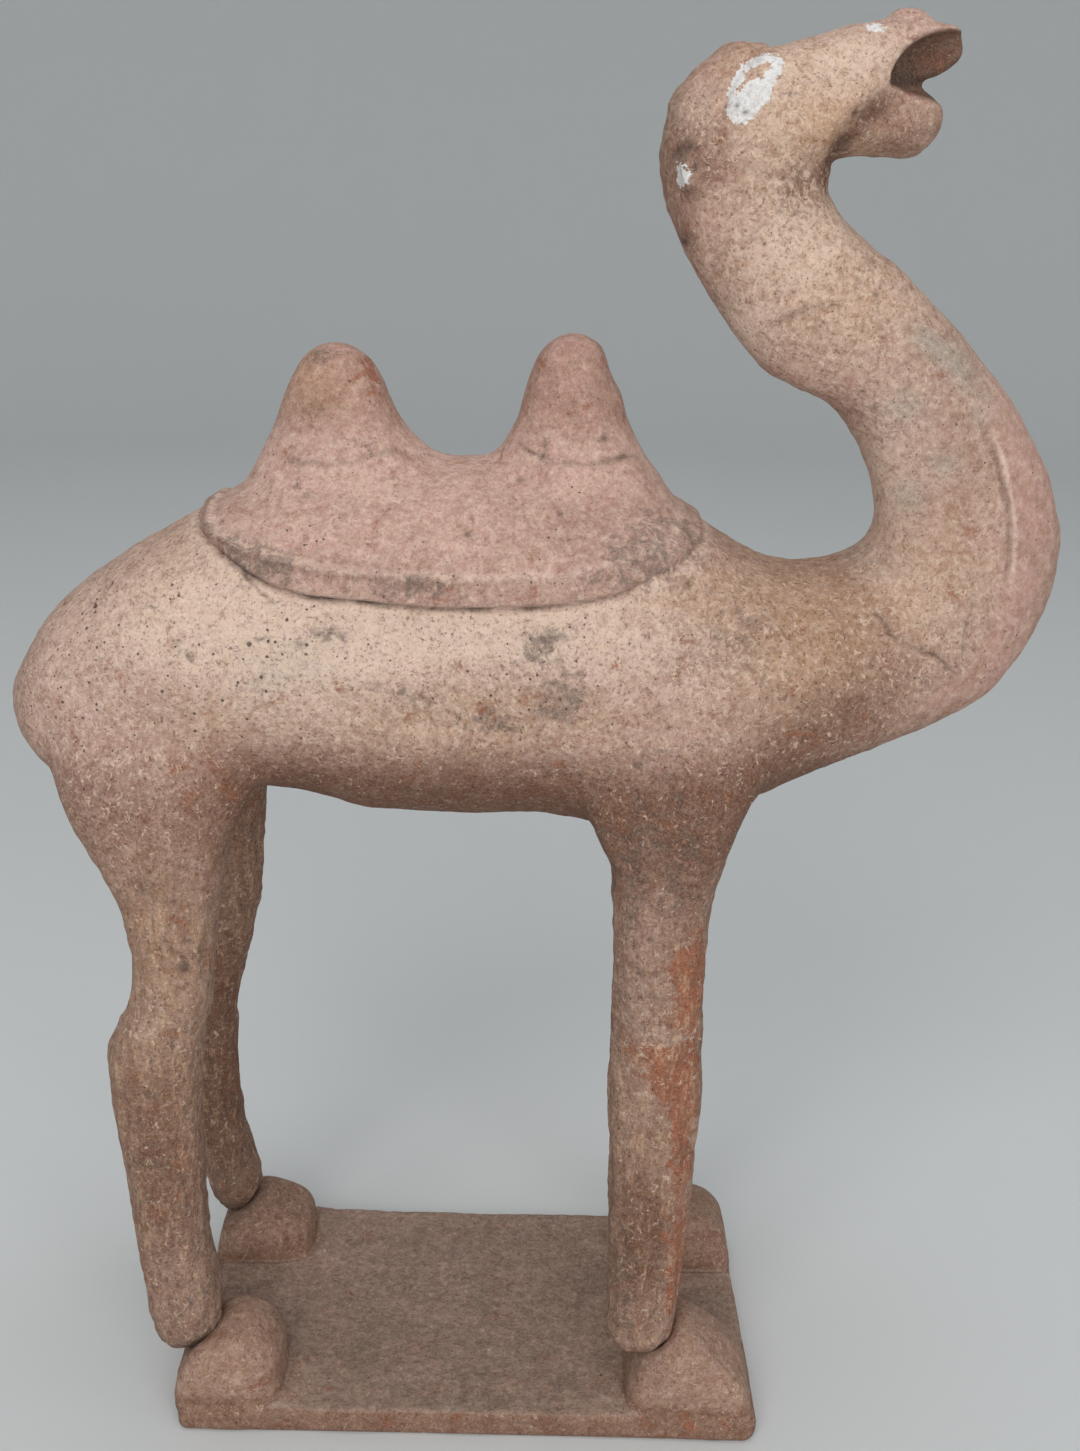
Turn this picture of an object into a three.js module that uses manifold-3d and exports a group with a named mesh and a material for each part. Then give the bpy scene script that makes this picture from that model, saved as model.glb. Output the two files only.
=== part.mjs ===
// A hand-built terracotta camel standing on its own clay slab.
// Units are millimetres. +X is toward the head, -Y is the side seen in the
// photo, +Z is up, and the origin is the centre of the slab's underside.
import * as THREE from 'three';
import { mergeVertices } from 'three/addons/utils/BufferGeometryUtils.js';
import Module from 'manifold-3d';

// Plinth sizes
const SLAB_LENGTH = 220;
const SLAB_WIDTH = 127;
const SLAB_THICKNESS = 10.3;
const SLAB_CORNER = 4;
const SLAB_EDGE_ROUND = 1.6;
const SLAB_EDGE_WANDER = 0.45;
const SLAB_SIDE_STEPS = 7;
const CORNER_CHIP = 6;

// Body sizes
const BARREL_HALF_WIDTH = 53;
const NECK_HALF_WIDTH = 24;
const HEAD_HALF_WIDTH = 21.5;
const LEG_HALF_WIDTH = 14.6;
const LEG_CENTRE_Y = 42.5;
const HUMP_HALF_WIDTH = 19.5;
const FOOT_HALF_WIDTH = 20.4;
const FOOT_CENTRE_Y = 42.8;
const FAR_FRONT_LEG_SHIFT = 4.6;

// Raised work on the skin
const BLANKET_THICKNESS = 1.8;
const BLANKET_RIM_THICKNESS = 3;
const BLANKET_RIM_WIDTH = 9.5;
const MANE_THICKNESS = 1.3;
const FRINGE_THICKNESS = 1.5;

// The open seam where each leg sits on its foot
const ANKLE_GAP = 0.35;

// How far the hand-smoothed surface strays from a true curve
const SKIN_WANDER = 0.45;

// Stations along the body, neck and skull: back edge x z, belly or throat
// edge x z, half width, all in the upright plane through the spine.
const W = BARREL_HALF_WIDTH;
const N = NECK_HALF_WIDTH;
const H = HEAD_HALF_WIDTH;
const TRUNK = [
  [-163.4, 283.5, -163.6, 268.0, W * 0.28],
  [-159.6, 290.0, -160.2, 260.2, W * 0.5],
  [-149.1, 306.0, -150.8, 249.6, W * 0.75],
  [-134.0, 319.4, -137.0, 240.0, W * 0.88],
  [-115.9, 330.8, -116.2, 238.5, W * 0.95],
  [-94.4, 342.6, -92.5, 242.6, W * 0.99],
  [-66.3, 355.0, -69.5, 244.4, W],
  [-45.7, 358.2, -47.6, 237.8, W],
  [-11.4, 359.0, -14.4, 234.4, W],
  [19.4, 359.4, 18.8, 235.6, W],
  [53.6, 354.2, 44.4, 233.0, W * 0.99],
  [71.7, 343.8, 74.5, 229.5, W * 0.97],
  [88.3, 332.4, 106.0, 248.4, W * 0.9],
  [103.2, 326.2, 130.0, 258.2, W * 0.79],
  [119.0, 327.0, 151.4, 267.2, W * 0.67],
  [129.8, 330.8, 172.4, 276.8, N * 1.28],
  [135.4, 337.4, 188.4, 295.4, N * 1.17],
  [135.2, 346.8, 197.3, 315.4, N * 1.1],
  [133.6, 356.3, 199.0, 338.2, N * 1.06],
  [128.4, 367.5, 192.4, 360.8, N * 1.03],
  [119.6, 379.0, 181.8, 378.8, N * 1.02],
  [111.6, 385.0, 169.9, 394.5, N],
  [100.4, 387.4, 155.9, 409.0, N],
  [89.5, 395.6, 142.2, 421.4, N],
  [77.5, 410.4, 129.6, 431.6, N * 0.98],
  [67.7, 425.1, 118.3, 439.6, N * 0.97],
  [60.0, 440.2, 111.4, 447.6, N * 0.97],
  [56.2, 453.8, 110.2, 454.6, H * 1.06],
  [56.2, 464.2, 112.6, 458.4, H * 1.08],
  [59.3, 477.4, 116.4, 460.4, H * 1.08],
  [67.8, 486.6, 121.2, 462.6, H * 1.04],
  [79.4, 493.2, 126.6, 465.6, H * 0.98],
  [88.0, 493.0, 128.7, 470.0, H * 0.92],
  [97.2, 494.6, 130.2, 475.0, H * 0.86],
  [109.2, 499.6, 132.8, 479.2, H * 0.79],
  [120.8, 501.4, 136.0, 482.4, H * 0.72],
  [133.0, 502.4, 140.9, 484.6, H * 0.64],
  [142.9, 501.2, 145.7, 487.2, H * 0.54],
  [147.9, 500.4, 149.2, 489.5, H * 0.36],
];

// Lower lip and chin, from inside the jaw to the tip.
const CHIN = [
  [108.0, 476.0, 106.0, 460.0, H * 0.5],
  [117.0, 480.0, 117.2, 461.2, H * 0.62],
  [128.5, 482.4, 128.5, 460.6, H * 0.68],
  [137.0, 482.6, 137.6, 461.0, H * 0.66],
  [142.2, 479.6, 142.4, 465.4, H * 0.52],
];

// Humps: rear edge x, front edge x, height, share of the half width.
const REAR_HUMP = [
  [-84.0, -7.0, 347.0, 1.5],
  [-77.0, -15.0, 360.4, 1.24],
  [-70.8, -26.0, 370.2, 1.0],
  [-67.8, -30.8, 379.0, 0.88],
  [-64.4, -34.0, 387.4, 0.74],
  [-60.6, -38.8, 393.6, 0.56],
  [-56.4, -44.6, 397.0, 0.3],
];
const FRONT_HUMP = [
  [-6.0, 66.0, 350.0, 1.5],
  [3.4, 57.0, 361.5, 1.26],
  [10.4, 49.6, 374.0, 1.02],
  [12.8, 46.8, 383.6, 0.9],
  [15.8, 43.8, 392.0, 0.76],
  [19.5, 40.4, 398.8, 0.56],
  [25.0, 34.4, 402.2, 0.28],
];

// Legs: rear edge x z, front edge x z, distance of the centre from the
// spine, half width. Each starts inside the body and ends at the ankle.
const Y = LEG_CENTRE_Y;
const L = LEG_HALF_WIDTH;
const NEAR_HIND_LEG = [
  [-132.0, 298.0, -94.0, 299.0, Y - 16.5, L * 1.05],
  [-142.0, 275.0, -82.0, 278.0, Y - 9.6, L * 1.22],
  [-145.4, 257.0, -71.2, 258.0, Y - 5.0, L * 1.28],
  [-139.6, 240.0, -77.0, 249.0, Y - 2.6, L * 1.2],
  [-131.0, 226.0, -84.0, 234.0, Y - 0.9, L * 1.12],
  [-122.8, 211.0, -86.2, 219.0, Y, L * 1.04],
  [-119.2, 191.0, -89.8, 196.0, Y, L],
  [-120.0, 177.0, -92.0, 178.0, Y, L],
  [-126.4, 163.0, -94.9, 163.0, Y, L * 1.03],
  [-131.2, 152.0, -96.2, 151.0, Y, L * 1.05],
  [-130.0, 130.0, -97.9, 130.0, Y, L],
  [-126.5, 100.0, -98.1, 100.0, Y, L * 0.98],
  [-123.8, 70.0, -97.5, 71.0, Y, L * 0.98],
  [-121.6, 44.0, -94.6, 48.0, Y, L],
  [-117.8, 30.5, -94.8, 37.0, Y, L * 0.9],
  [-111.8, 24.6, -99.6, 29.0, Y, L * 0.52],
];
const FAR_HIND_LEG = [
  [-132.0, 298.0, -94.0, 299.0, Y - 16.5, L * 1.05],
  [-142.0, 275.0, -82.0, 278.0, Y - 9.6, L * 1.22],
  [-142.6, 257.0, -71.2, 258.0, Y - 5.0, L * 1.28],
  [-136.0, 240.0, -78.0, 246.0, Y - 2.6, L * 1.2],
  [-128.6, 226.0, -83.4, 232.0, Y - 0.9, L * 1.1],
  [-122.0, 211.0, -85.4, 218.0, Y, L * 1.03],
  [-118.8, 191.0, -86.9, 194.0, Y, L],
  [-119.4, 177.0, -88.8, 177.0, Y, L],
  [-123.6, 160.0, -92.4, 159.0, Y, L],
  [-127.2, 146.0, -96.4, 145.0, Y, L],
  [-128.0, 126.0, -100.2, 126.0, Y, L * 0.96],
  [-125.6, 97.0, -101.5, 97.0, Y, L * 0.92],
  [-121.4, 68.0, -99.6, 68.0, Y, L * 0.9],
  [-117.4, 46.0, -94.0, 44.0, Y, L * 0.9],
  [-115.0, 32.5, -93.2, 37.0, Y, L * 0.82],
  [-109.6, 26.6, -98.6, 29.6, Y, L * 0.48],
];
const FRONT_LEG = [
  [50.0, 304.0, 88.0, 304.0, Y - 16.5, L * 1.05],
  [41.0, 281.0, 98.6, 284.0, Y - 10.0, L * 1.22],
  [33.6, 256.0, 102.0, 264.0, Y - 5.6, L * 1.24],
  [40.4, 240.0, 93.0, 248.0, Y - 2.0, L * 1.18],
  [47.4, 228.0, 87.0, 232.0, Y - 0.8, L * 1.1],
  [48.0, 213.0, 83.1, 215.0, Y, L * 1.06],
  [48.6, 190.0, 81.3, 190.0, Y, L * 1.03],
  [49.2, 144.0, 83.6, 144.0, Y, L],
  [50.6, 108.0, 82.0, 108.0, Y, L * 0.98],
  [52.4, 72.0, 80.6, 72.0, Y, L * 0.97],
  [53.0, 50.0, 78.8, 48.0, Y, L * 0.98],
  [53.6, 42.6, 78.2, 37.0, Y, L * 0.97],
  [57.0, 38.8, 75.6, 32.4, Y, L * 0.84],
];

// Feet: x, height of the top, share of the half width.
const NEAR_HIND_FOOT = [
  [-111.2, 18.0, 0.84],
  [-108.4, 26.0, 0.94],
  [-102.0, 33.4, 1.0],
  [-92.0, 38.0, 1.0],
  [-83.0, 37.4, 0.98],
  [-76.6, 33.6, 0.9],
  [-72.4, 26.0, 0.72],
];
const FAR_HIND_FOOT = [
  [-111.2, 18.0, 0.84],
  [-108.0, 26.0, 0.94],
  [-101.0, 31.0, 1.0],
  [-93.0, 33.6, 1.0],
  [-84.0, 30.6, 0.98],
  [-76.6, 27.0, 0.9],
  [-72.0, 20.0, 0.72],
];
const NEAR_FRONT_FOOT = [
  [61.6, 20.0, 0.76],
  [65.6, 30.0, 0.92],
  [74.0, 38.4, 0.98],
  [82.6, 42.2, 1.0],
  [90.0, 37.8, 1.0],
  [98.4, 30.2, 1.0],
  [105.4, 22.0, 0.96],
  [108.6, 15.0, 0.88],
];
const FAR_FRONT_FOOT = [
  [63.6, 20.0, 0.76],
  [68.0, 29.0, 0.92],
  [76.0, 36.0, 0.98],
  [86.0, 38.4, 1.0],
  [94.4, 35.6, 1.0],
  [101.6, 31.2, 1.0],
  [106.6, 24.0, 0.96],
  [108.8, 16.0, 0.88],
];

// Small round forms on the head: place x z, half sizes x y z, and how far
// each centre sits from the spine as a share of the head's half width.
const NOSE_BUMP = { at: [132.4, 501.3], size: [7.5, 6.5, 4.2] };
const EYE = { at: [84.4, 480.6], size: [9.5, 4, 7.6], out: 0.76, turn: -0.5 };
const EAR = { at: [65.2, 456.4], size: [5.8, 4.6, 9.2], out: 0.96, turn: 0.16 };
const EAR_HOLLOW = { at: [66, 457.4], size: [3.1, 3.4, 6.2], lift: 4.4 };
const LIP_HOLLOW = { at: [139.4, 492.6], size: [11.5, 7.6, 4.6], out: 0.577, turn: -0.5 };

// Outlines drawn in the upright plane and cut straight through: x z.
const BLANKET_EDGE = [
  [-99, 352], [-95.5, 343.4], [-87.5, 334.4], [-77, 328], [-62, 324], [-40, 321],
  [-14, 319.2], [12, 319.4], [32, 321.2], [47, 325], [60, 333.6], [72, 341.6], [81, 350],
];
const MANE_EDGE = [
  [92, 512], [86, 490], [76.4, 484], [73.4, 477], [75.4, 467], [78.4, 458], [73, 448.6],
  [75.4, 435], [84, 419], [95.6, 407.4], [104, 396], [103, 386],
];
const FRINGE_EDGE = [
  [158, 402], [166, 387], [172.6, 375], [179, 353.6], [181.2, 332], [176, 301],
  [162, 283], [147, 268], [139, 250],
];

const wasm = await Module();
wasm.setup();

// Turns a closed three.js geometry into a solid that can be joined and cut.
function solid(geometry) {
  const bare = geometry.clone();
  bare.deleteAttribute('normal');
  bare.deleteAttribute('uv');
  const merged = mergeVertices(bare, 1e-3);
  const points = new Float32Array(merged.attributes.position.array);
  const faces = new Uint32Array(merged.index.array);
  return new wasm.Manifold(new wasm.Mesh({ numProp: 3, vertProperties: points, triVerts: faces }));
}

// Smooth hand unevenness, in millimetres, at a point of the skin.
function wander(x, y, z) {
  const slow = Math.sin(x * 0.061 + z * 0.043 + 1.3) * Math.cos(y * 0.072 - z * 0.051 + 0.4);
  const quick = Math.sin(x * 0.137 - z * 0.119 + 2.1) * Math.sin(y * 0.151 + z * 0.107 + 0.9);
  return SKIN_WANDER * (0.7 * slow + 0.5 * quick);
}

function roundPower(value, power) {
  return Math.sign(value) * Math.abs(value) ** (2 / power);
}

// A skin drawn through stations. Each station has two edge points in the
// upright plane, a centre line y and a half width; grow swells it outward.
function loft(stations, options) {
  const { spans, around, power = 2.2, grow = 0, domes = [1, 1], bias = 0 } = options;
  const edgeA = stations.map((s) => new THREE.Vector3(s.a[0], s.y, s.a[1]));
  const edgeB = stations.map((s) => new THREE.Vector3(s.b[0], s.w, s.b[1]));
  const curveA = new THREE.CatmullRomCurve3(edgeA, false, 'centripetal');
  const curveB = new THREE.CatmullRomCurve3(edgeB, false, 'centripetal');
  const rings = [];
  for (let i = 0; i <= spans; i += 1) {
    const a = curveA.getPoint(i / spans);
    const b = curveB.getPoint(i / spans);
    const lean = new THREE.Vector2(a.x - b.x, a.z - b.z);
    const half = lean.length() / 2;
    lean.normalize();
    const ring = { x: (a.x + b.x) / 2, z: (a.z + b.z) / 2, y: a.y };
    rings.push({ ...ring, half: half + grow, width: b.y + grow, lean, dome: false });
  }
  const capped = [
    ...domeRings(rings[0], rings[1], domes[0] + grow).reverse(),
    ...rings,
    ...domeRings(rings[spans], rings[spans - 1], domes[1] + grow),
  ];
  return skin(capped, around, power, bias);
}

// Shrinking rings that round off one end of a skin.
function domeRings(end, before, depth) {
  const out = new THREE.Vector2(end.lean.y, -end.lean.x);
  if (out.dot(new THREE.Vector2(end.x - before.x, end.z - before.z)) < 0) {
    out.negate();
  }
  return [0.45, 0.8, 1].map((share) => {
    const shrink = share === 1 ? 0 : Math.sqrt(1 - share * share);
    return {
      x: end.x + out.x * depth * share,
      z: end.z + out.y * depth * share,
      y: end.y,
      half: end.half * shrink,
      width: end.width * shrink,
      lean: end.lean,
      point: share === 1,
    };
  });
}

// Joins rings into one closed geometry. The first and last rings are points.
function skin(rings, around, power, bias) {
  const positions = [];
  const starts = [];
  for (const ring of rings) {
    starts.push(positions.length / 3);
    const sides = ring.point ? 1 : around;
    for (let j = 0; j < sides; j += 1) {
      const angle = (j / around) * Math.PI * 2;
      const up = ring.point ? 0 : roundPower(Math.cos(angle), power);
      const side = ring.point ? 0 : roundPower(Math.sin(angle), power);
      const width = ring.width * (1 - bias * up);
      let x = ring.x + ring.lean.x * ring.half * up;
      let y = ring.y + width * side;
      let z = ring.z + ring.lean.y * ring.half * up;
      const stray = wander(x, y, z);
      x += ring.lean.x * up * stray;
      y += side * stray;
      z += ring.lean.y * up * stray;
      positions.push(x, y, z);
    }
  }
  const faces = [];
  for (let i = 0; i < rings.length - 1; i += 1) {
    for (let j = 0; j < around; j += 1) {
      const next = (j + 1) % around;
      const a = rings[i].point ? starts[i] : starts[i] + j;
      const b = rings[i].point ? starts[i] : starts[i] + next;
      const c = rings[i + 1].point ? starts[i + 1] : starts[i + 1] + j;
      const d = rings[i + 1].point ? starts[i + 1] : starts[i + 1] + next;
      if (a !== b) {
        faces.push(a, b, d);
      }
      if (c !== d) {
        faces.push(a, d, c);
      }
    }
  }
  const geometry = new THREE.BufferGeometry();
  geometry.setAttribute('position', new THREE.Float32BufferAttribute(positions, 3));
  geometry.setIndex(faces);
  if (volume(geometry) < 0) {
    for (let i = 0; i < faces.length; i += 3) {
      [faces[i + 1], faces[i + 2]] = [faces[i + 2], faces[i + 1]];
    }
    geometry.setIndex(faces);
  }
  return geometry;
}

function volume(geometry) {
  const p = geometry.attributes.position;
  const index = geometry.index.array;
  const a = new THREE.Vector3();
  const b = new THREE.Vector3();
  const c = new THREE.Vector3();
  let sum = 0;
  for (let i = 0; i < index.length; i += 3) {
    a.fromBufferAttribute(p, index[i]);
    b.fromBufferAttribute(p, index[i + 1]);
    c.fromBufferAttribute(p, index[i + 2]);
    sum += a.dot(b.cross(c)) / 6;
  }
  return sum;
}

// A smooth line through the points of an outline.
function smoothLine(points, steps) {
  const curve = new THREE.SplineCurve(points.map(([x, z]) => new THREE.Vector2(x, z)));
  return curve.getPoints(steps);
}

// A flat outline in the upright plane, pushed straight through in Y.
function slice(outline, width) {
  const shape = new THREE.Shape(outline);
  const geometry = new THREE.ExtrudeGeometry(shape, { depth: width, bevelEnabled: false });
  geometry.rotateX(Math.PI / 2);
  geometry.translate(0, width / 2, 0);
  return solid(geometry);
}

function ball(size, [x, y, z], turn = 0) {
  const geometry = new THREE.SphereGeometry(1, 12, 7);
  geometry.rotateX(Math.PI / 2);
  geometry.scale(...size);
  geometry.rotateY(turn);
  geometry.translate(x, y, z);
  return solid(geometry);
}

// A small form on one side of the head.
function sideBall(form, side, out, turn = form.turn) {
  return ball(form.size, [form.at[0], side * out, form.at[1]], turn);
}

function trunkSkin(grow) {
  const stations = TRUNK.map(([ax, az, bx, bz, w]) => ({ a: [ax, az], b: [bx, bz], y: 0, w }));
  const options = { spans: 42, around: 20, power: 2.35, grow, domes: [1.6, 1.6], bias: 0.05 };
  return solid(loft(stations, options));
}

function legSkin([leg, side, shift], grow) {
  const stations = leg.map(([ax, az, bx, bz, y, w]) => {
    return { a: [ax + shift, az], b: [bx + shift, bz], y: y * side, w };
  });
  const options = { spans: leg.length - 1, around: 12, power: 2.35, grow, domes: [3, 2.4] };
  return solid(loft(stations, options));
}

function humpSkin(hump) {
  const stations = hump.map(([rear, front, z, share]) => {
    return { a: [rear, z], b: [front, z], y: 0, w: HUMP_HALF_WIDTH * share };
  });
  return solid(loft(stations, { spans: 6, around: 16, power: 2.1, domes: [1, 1.2] }));
}

// The saddle blanket: the body's own skin, thickened above its hem, with a
// thicker rim along the hem.
function blanket() {
  const hem = smoothLine(BLANKET_EDGE, 24);
  const first = hem[0];
  const last = hem[hem.length - 1];
  const centreX = (first.x + last.x) / 2;
  const raised = (rise) => hem.map((p) => {
    const pull = (p.x - centreX) / (last.x - first.x);
    return new THREE.Vector2(p.x - pull * rise * 1.6, p.y + rise);
  });
  const low = raised(BLANKET_RIM_WIDTH / 2);
  // The top slopes back from the hem's front end, clear of the back of the neck.
  const above = [
    ...low,
    new THREE.Vector2(last.x, 372),
    new THREE.Vector2(last.x - 11, 410),
    new THREE.Vector2(first.x, 410),
  ];
  const rim = [...hem, ...raised(BLANKET_RIM_WIDTH).reverse()];
  const cloth = trunkSkin(BLANKET_THICKNESS).intersect(slice(above, 140));
  const edge = trunkSkin(BLANKET_RIM_THICKNESS).intersect(slice(rim, 140));
  return cloth.add(edge);
}

function mane() {
  const line = smoothLine(MANE_EDGE, 20);
  const outline = [...line, new THREE.Vector2(40, 386), new THREE.Vector2(40, 512)];
  return trunkSkin(MANE_THICKNESS).intersect(slice(outline, 80));
}

function fringe() {
  const line = smoothLine(FRINGE_EDGE, 14);
  const outline = [...line, new THREE.Vector2(230, 250), new THREE.Vector2(230, 402)];
  return trunkSkin(FRINGE_THICKNESS).intersect(slice(outline, 90));
}

// Ears, eyes, nose, chin and the hollow sides of the raised upper lip.
function head(body) {
  const chin = CHIN.map(([ax, az, bx, bz, w]) => ({ a: [ax, az], b: [bx, bz], y: 0, w }));
  let out = body.add(solid(loft(chin, { spans: 5, around: 14, power: 2.3, domes: [2, 2.6] })));
  out = out.add(ball(NOSE_BUMP.size, [NOSE_BUMP.at[0], 0, NOSE_BUMP.at[1]]));
  for (const side of [-1, 1]) {
    const earOut = H * EAR.out;
    out = out.add(sideBall(EYE, side, H * EYE.out));
    out = out.add(sideBall(EAR, side, earOut));
    out = out.subtract(sideBall(EAR_HOLLOW, side, earOut + EAR_HOLLOW.lift, EAR.turn));
    out = out.subtract(sideBall(LIP_HOLLOW, side, H * LIP_HOLLOW.out));
  }
  return out;
}

function camelSolid() {
  let out = trunkSkin(0).add(blanket()).add(mane()).add(fringe());
  out = out.add(humpSkin(REAR_HUMP)).add(humpSkin(FRONT_HUMP));
  out = head(out);
  for (const place of legPlaces()) {
    out = out.add(legSkin(place, 0));
  }
  return out;
}

function legPlaces() {
  return [
    [NEAR_HIND_LEG, -1, 0],
    [FAR_HIND_LEG, 1, 0],
    [FRONT_LEG, -1, 0],
    [FRONT_LEG, 1, FAR_FRONT_LEG_SHIFT],
  ];
}

// The slab's outline at one level, a rounded rectangle with uneven sides.
function slabRing(inset, z) {
  const halfX = SLAB_LENGTH / 2 - inset - SLAB_CORNER;
  const halfY = SLAB_WIDTH / 2 - inset - SLAB_CORNER;
  const arcs = [[1, 1], [-1, 1], [-1, -1], [1, -1]].map(([sx, sy], quarter) => {
    const start = (quarter * Math.PI) / 2;
    const end = start + Math.PI / 2;
    const arc = new THREE.EllipseCurve(sx * halfX, sy * halfY, SLAB_CORNER, SLAB_CORNER, start, end);
    return arc.getPoints(3);
  });
  const points = [];
  arcs.forEach((arc, i) => {
    points.push(...arc);
    const from = arc[arc.length - 1];
    const to = arcs[(i + 1) % 4][0];
    const inward = new THREE.Vector2(from.y - to.y, to.x - from.x).normalize();
    for (let k = 1; k < SLAB_SIDE_STEPS; k += 1) {
      const t = k / SLAB_SIDE_STEPS;
      const p = from.clone().lerp(to, t);
      const stray = 1 + Math.sin(p.x * 0.09 + i * 2) * Math.cos(p.y * 0.11 + i);
      points.push(p.addScaledVector(inward, SLAB_EDGE_WANDER * stray * Math.sin(Math.PI * t)));
    }
  });
  return points.map((p) => new THREE.Vector3(p.x, p.y, z));
}

function slabSkin() {
  const round = SLAB_EDGE_ROUND;
  const top = SLAB_THICKNESS;
  const rings = [
    slabRing(round * 0.6, 0),
    slabRing(0, round * 0.6),
    slabRing(0, top - round),
    slabRing(round * 0.3, top - round * 0.3),
    slabRing(round, top),
  ];
  const around = rings[0].length;
  const positions = rings.flat().flatMap((p) => p.toArray());
  const faces = [];
  for (let i = 0; i < rings.length - 1; i += 1) {
    for (let j = 0; j < around; j += 1) {
      const a = i * around + j;
      const b = i * around + ((j + 1) % around);
      faces.push(a, b, b + around, a, b + around, a + around);
    }
  }
  for (const [ring, flip] of [[0, true], [rings.length - 1, false]]) {
    const outline = rings[ring].map((p) => new THREE.Vector2(p.x, p.y));
    for (const [a, b, c] of THREE.ShapeUtils.triangulateShape(outline, [])) {
      const base = ring * around;
      faces.push(...(flip ? [base + a, base + c, base + b] : [base + a, base + b, base + c]));
    }
  }
  const geometry = new THREE.BufferGeometry();
  geometry.setAttribute('position', new THREE.Float32BufferAttribute(positions, 3));
  geometry.setIndex(faces);
  return solid(geometry);
}

function footSkin(foot, side) {
  const stations = foot.map(([x, top, share]) => {
    return { a: [x, top], b: [x, 2.4], y: side * FOOT_CENTRE_Y, w: FOOT_HALF_WIDTH * share };
  });
  const options = { spans: foot.length - 1, around: 12, power: 2.7, domes: [0.8, 0.8] };
  return solid(loft(stations, options));
}

function plinthSolid() {
  let out = slabSkin();
  out = out.add(footSkin(NEAR_HIND_FOOT, -1)).add(footSkin(FAR_HIND_FOOT, 1));
  out = out.add(footSkin(NEAR_FRONT_FOOT, -1)).add(footSkin(FAR_FRONT_FOOT, 1));
  for (const place of legPlaces()) {
    out = out.subtract(legSkin(place, ANKLE_GAP));
  }
  const chip = [SLAB_LENGTH / 2 + CORNER_CHIP * 0.3, -SLAB_WIDTH / 2 - CORNER_CHIP * 0.3, 0];
  return out.subtract(ball([CORNER_CHIP, CORNER_CHIP, CORNER_CHIP * 0.7], chip));
}

function mesh(name, shape, colour) {
  const data = shape.getMesh();
  const geometry = new THREE.BufferGeometry();
  geometry.setAttribute('position', new THREE.BufferAttribute(data.vertProperties, 3));
  geometry.setIndex(new THREE.BufferAttribute(data.triVerts, 1));
  const material = new THREE.MeshStandardMaterial({ color: colour, roughness: 0.95 });
  const out = new THREE.Mesh(geometry, material);
  out.name = name;
  return out;
}

const group = new THREE.Group();
group.name = 'terracotta_camel';
group.add(mesh('camel', camelSolid(), 0xb58a72));
group.add(mesh('plinth', plinthSolid(), 0x8c7868));

export default group;
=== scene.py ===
"""Looks of the terracotta camel on its clay slab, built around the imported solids.

Lengths in this file are millimetres in the part's own frame, until a mesh is
written in metres. +X is toward the head, -Y is the side seen in the photo.
"""

import math

import bpy
import numpy as np
from mathutils import Matrix, Vector


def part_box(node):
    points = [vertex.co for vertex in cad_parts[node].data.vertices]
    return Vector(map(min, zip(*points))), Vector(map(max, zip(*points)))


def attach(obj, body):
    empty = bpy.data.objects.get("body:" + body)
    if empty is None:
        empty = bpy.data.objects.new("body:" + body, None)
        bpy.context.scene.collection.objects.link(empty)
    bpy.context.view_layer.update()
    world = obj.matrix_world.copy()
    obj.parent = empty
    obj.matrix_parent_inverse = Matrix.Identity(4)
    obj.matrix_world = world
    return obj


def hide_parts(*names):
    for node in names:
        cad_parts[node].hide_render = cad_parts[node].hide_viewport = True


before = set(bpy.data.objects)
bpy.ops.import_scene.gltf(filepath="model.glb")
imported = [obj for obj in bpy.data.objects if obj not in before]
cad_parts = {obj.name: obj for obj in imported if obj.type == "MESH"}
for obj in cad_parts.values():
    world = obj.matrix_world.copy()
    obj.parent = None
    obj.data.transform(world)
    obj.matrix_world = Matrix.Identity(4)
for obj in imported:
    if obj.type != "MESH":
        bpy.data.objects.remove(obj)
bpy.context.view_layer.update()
scene = bpy.context.scene

MM = 0.001

# Lines
# Lines of the source, x z, drawn in the upright plane through the spine.
CAD_HEM = [(-99, 352), (-95.5, 343.4), (-87.5, 334.4), (-77, 328), (-62, 324), (-40, 321),
           (-14, 319.2), (12, 319.4), (32, 321.2), (47, 325), (60, 333.6), (72, 341.6), (81, 350)]
CAD_MANE = [(92, 512), (86, 490), (76.4, 484), (73.4, 477), (75.4, 467), (78.4, 458),
            (73, 448.6), (75.4, 435), (84, 419), (95.6, 407.4), (104, 396), (103, 386)]
CAD_FRINGE = [(158, 402), (166, 387), (172.6, 375), (179, 353.6), (181.2, 332), (176, 301),
              (162, 283), (147, 268), (139, 250)]
CAD_RIM_WIDTH = 9.5
CAD_CLOTH, CAD_RIM, CAD_MANE_STEP, CAD_FRINGE_STEP = 1.8, 3.0, 1.3, 1.5

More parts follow.
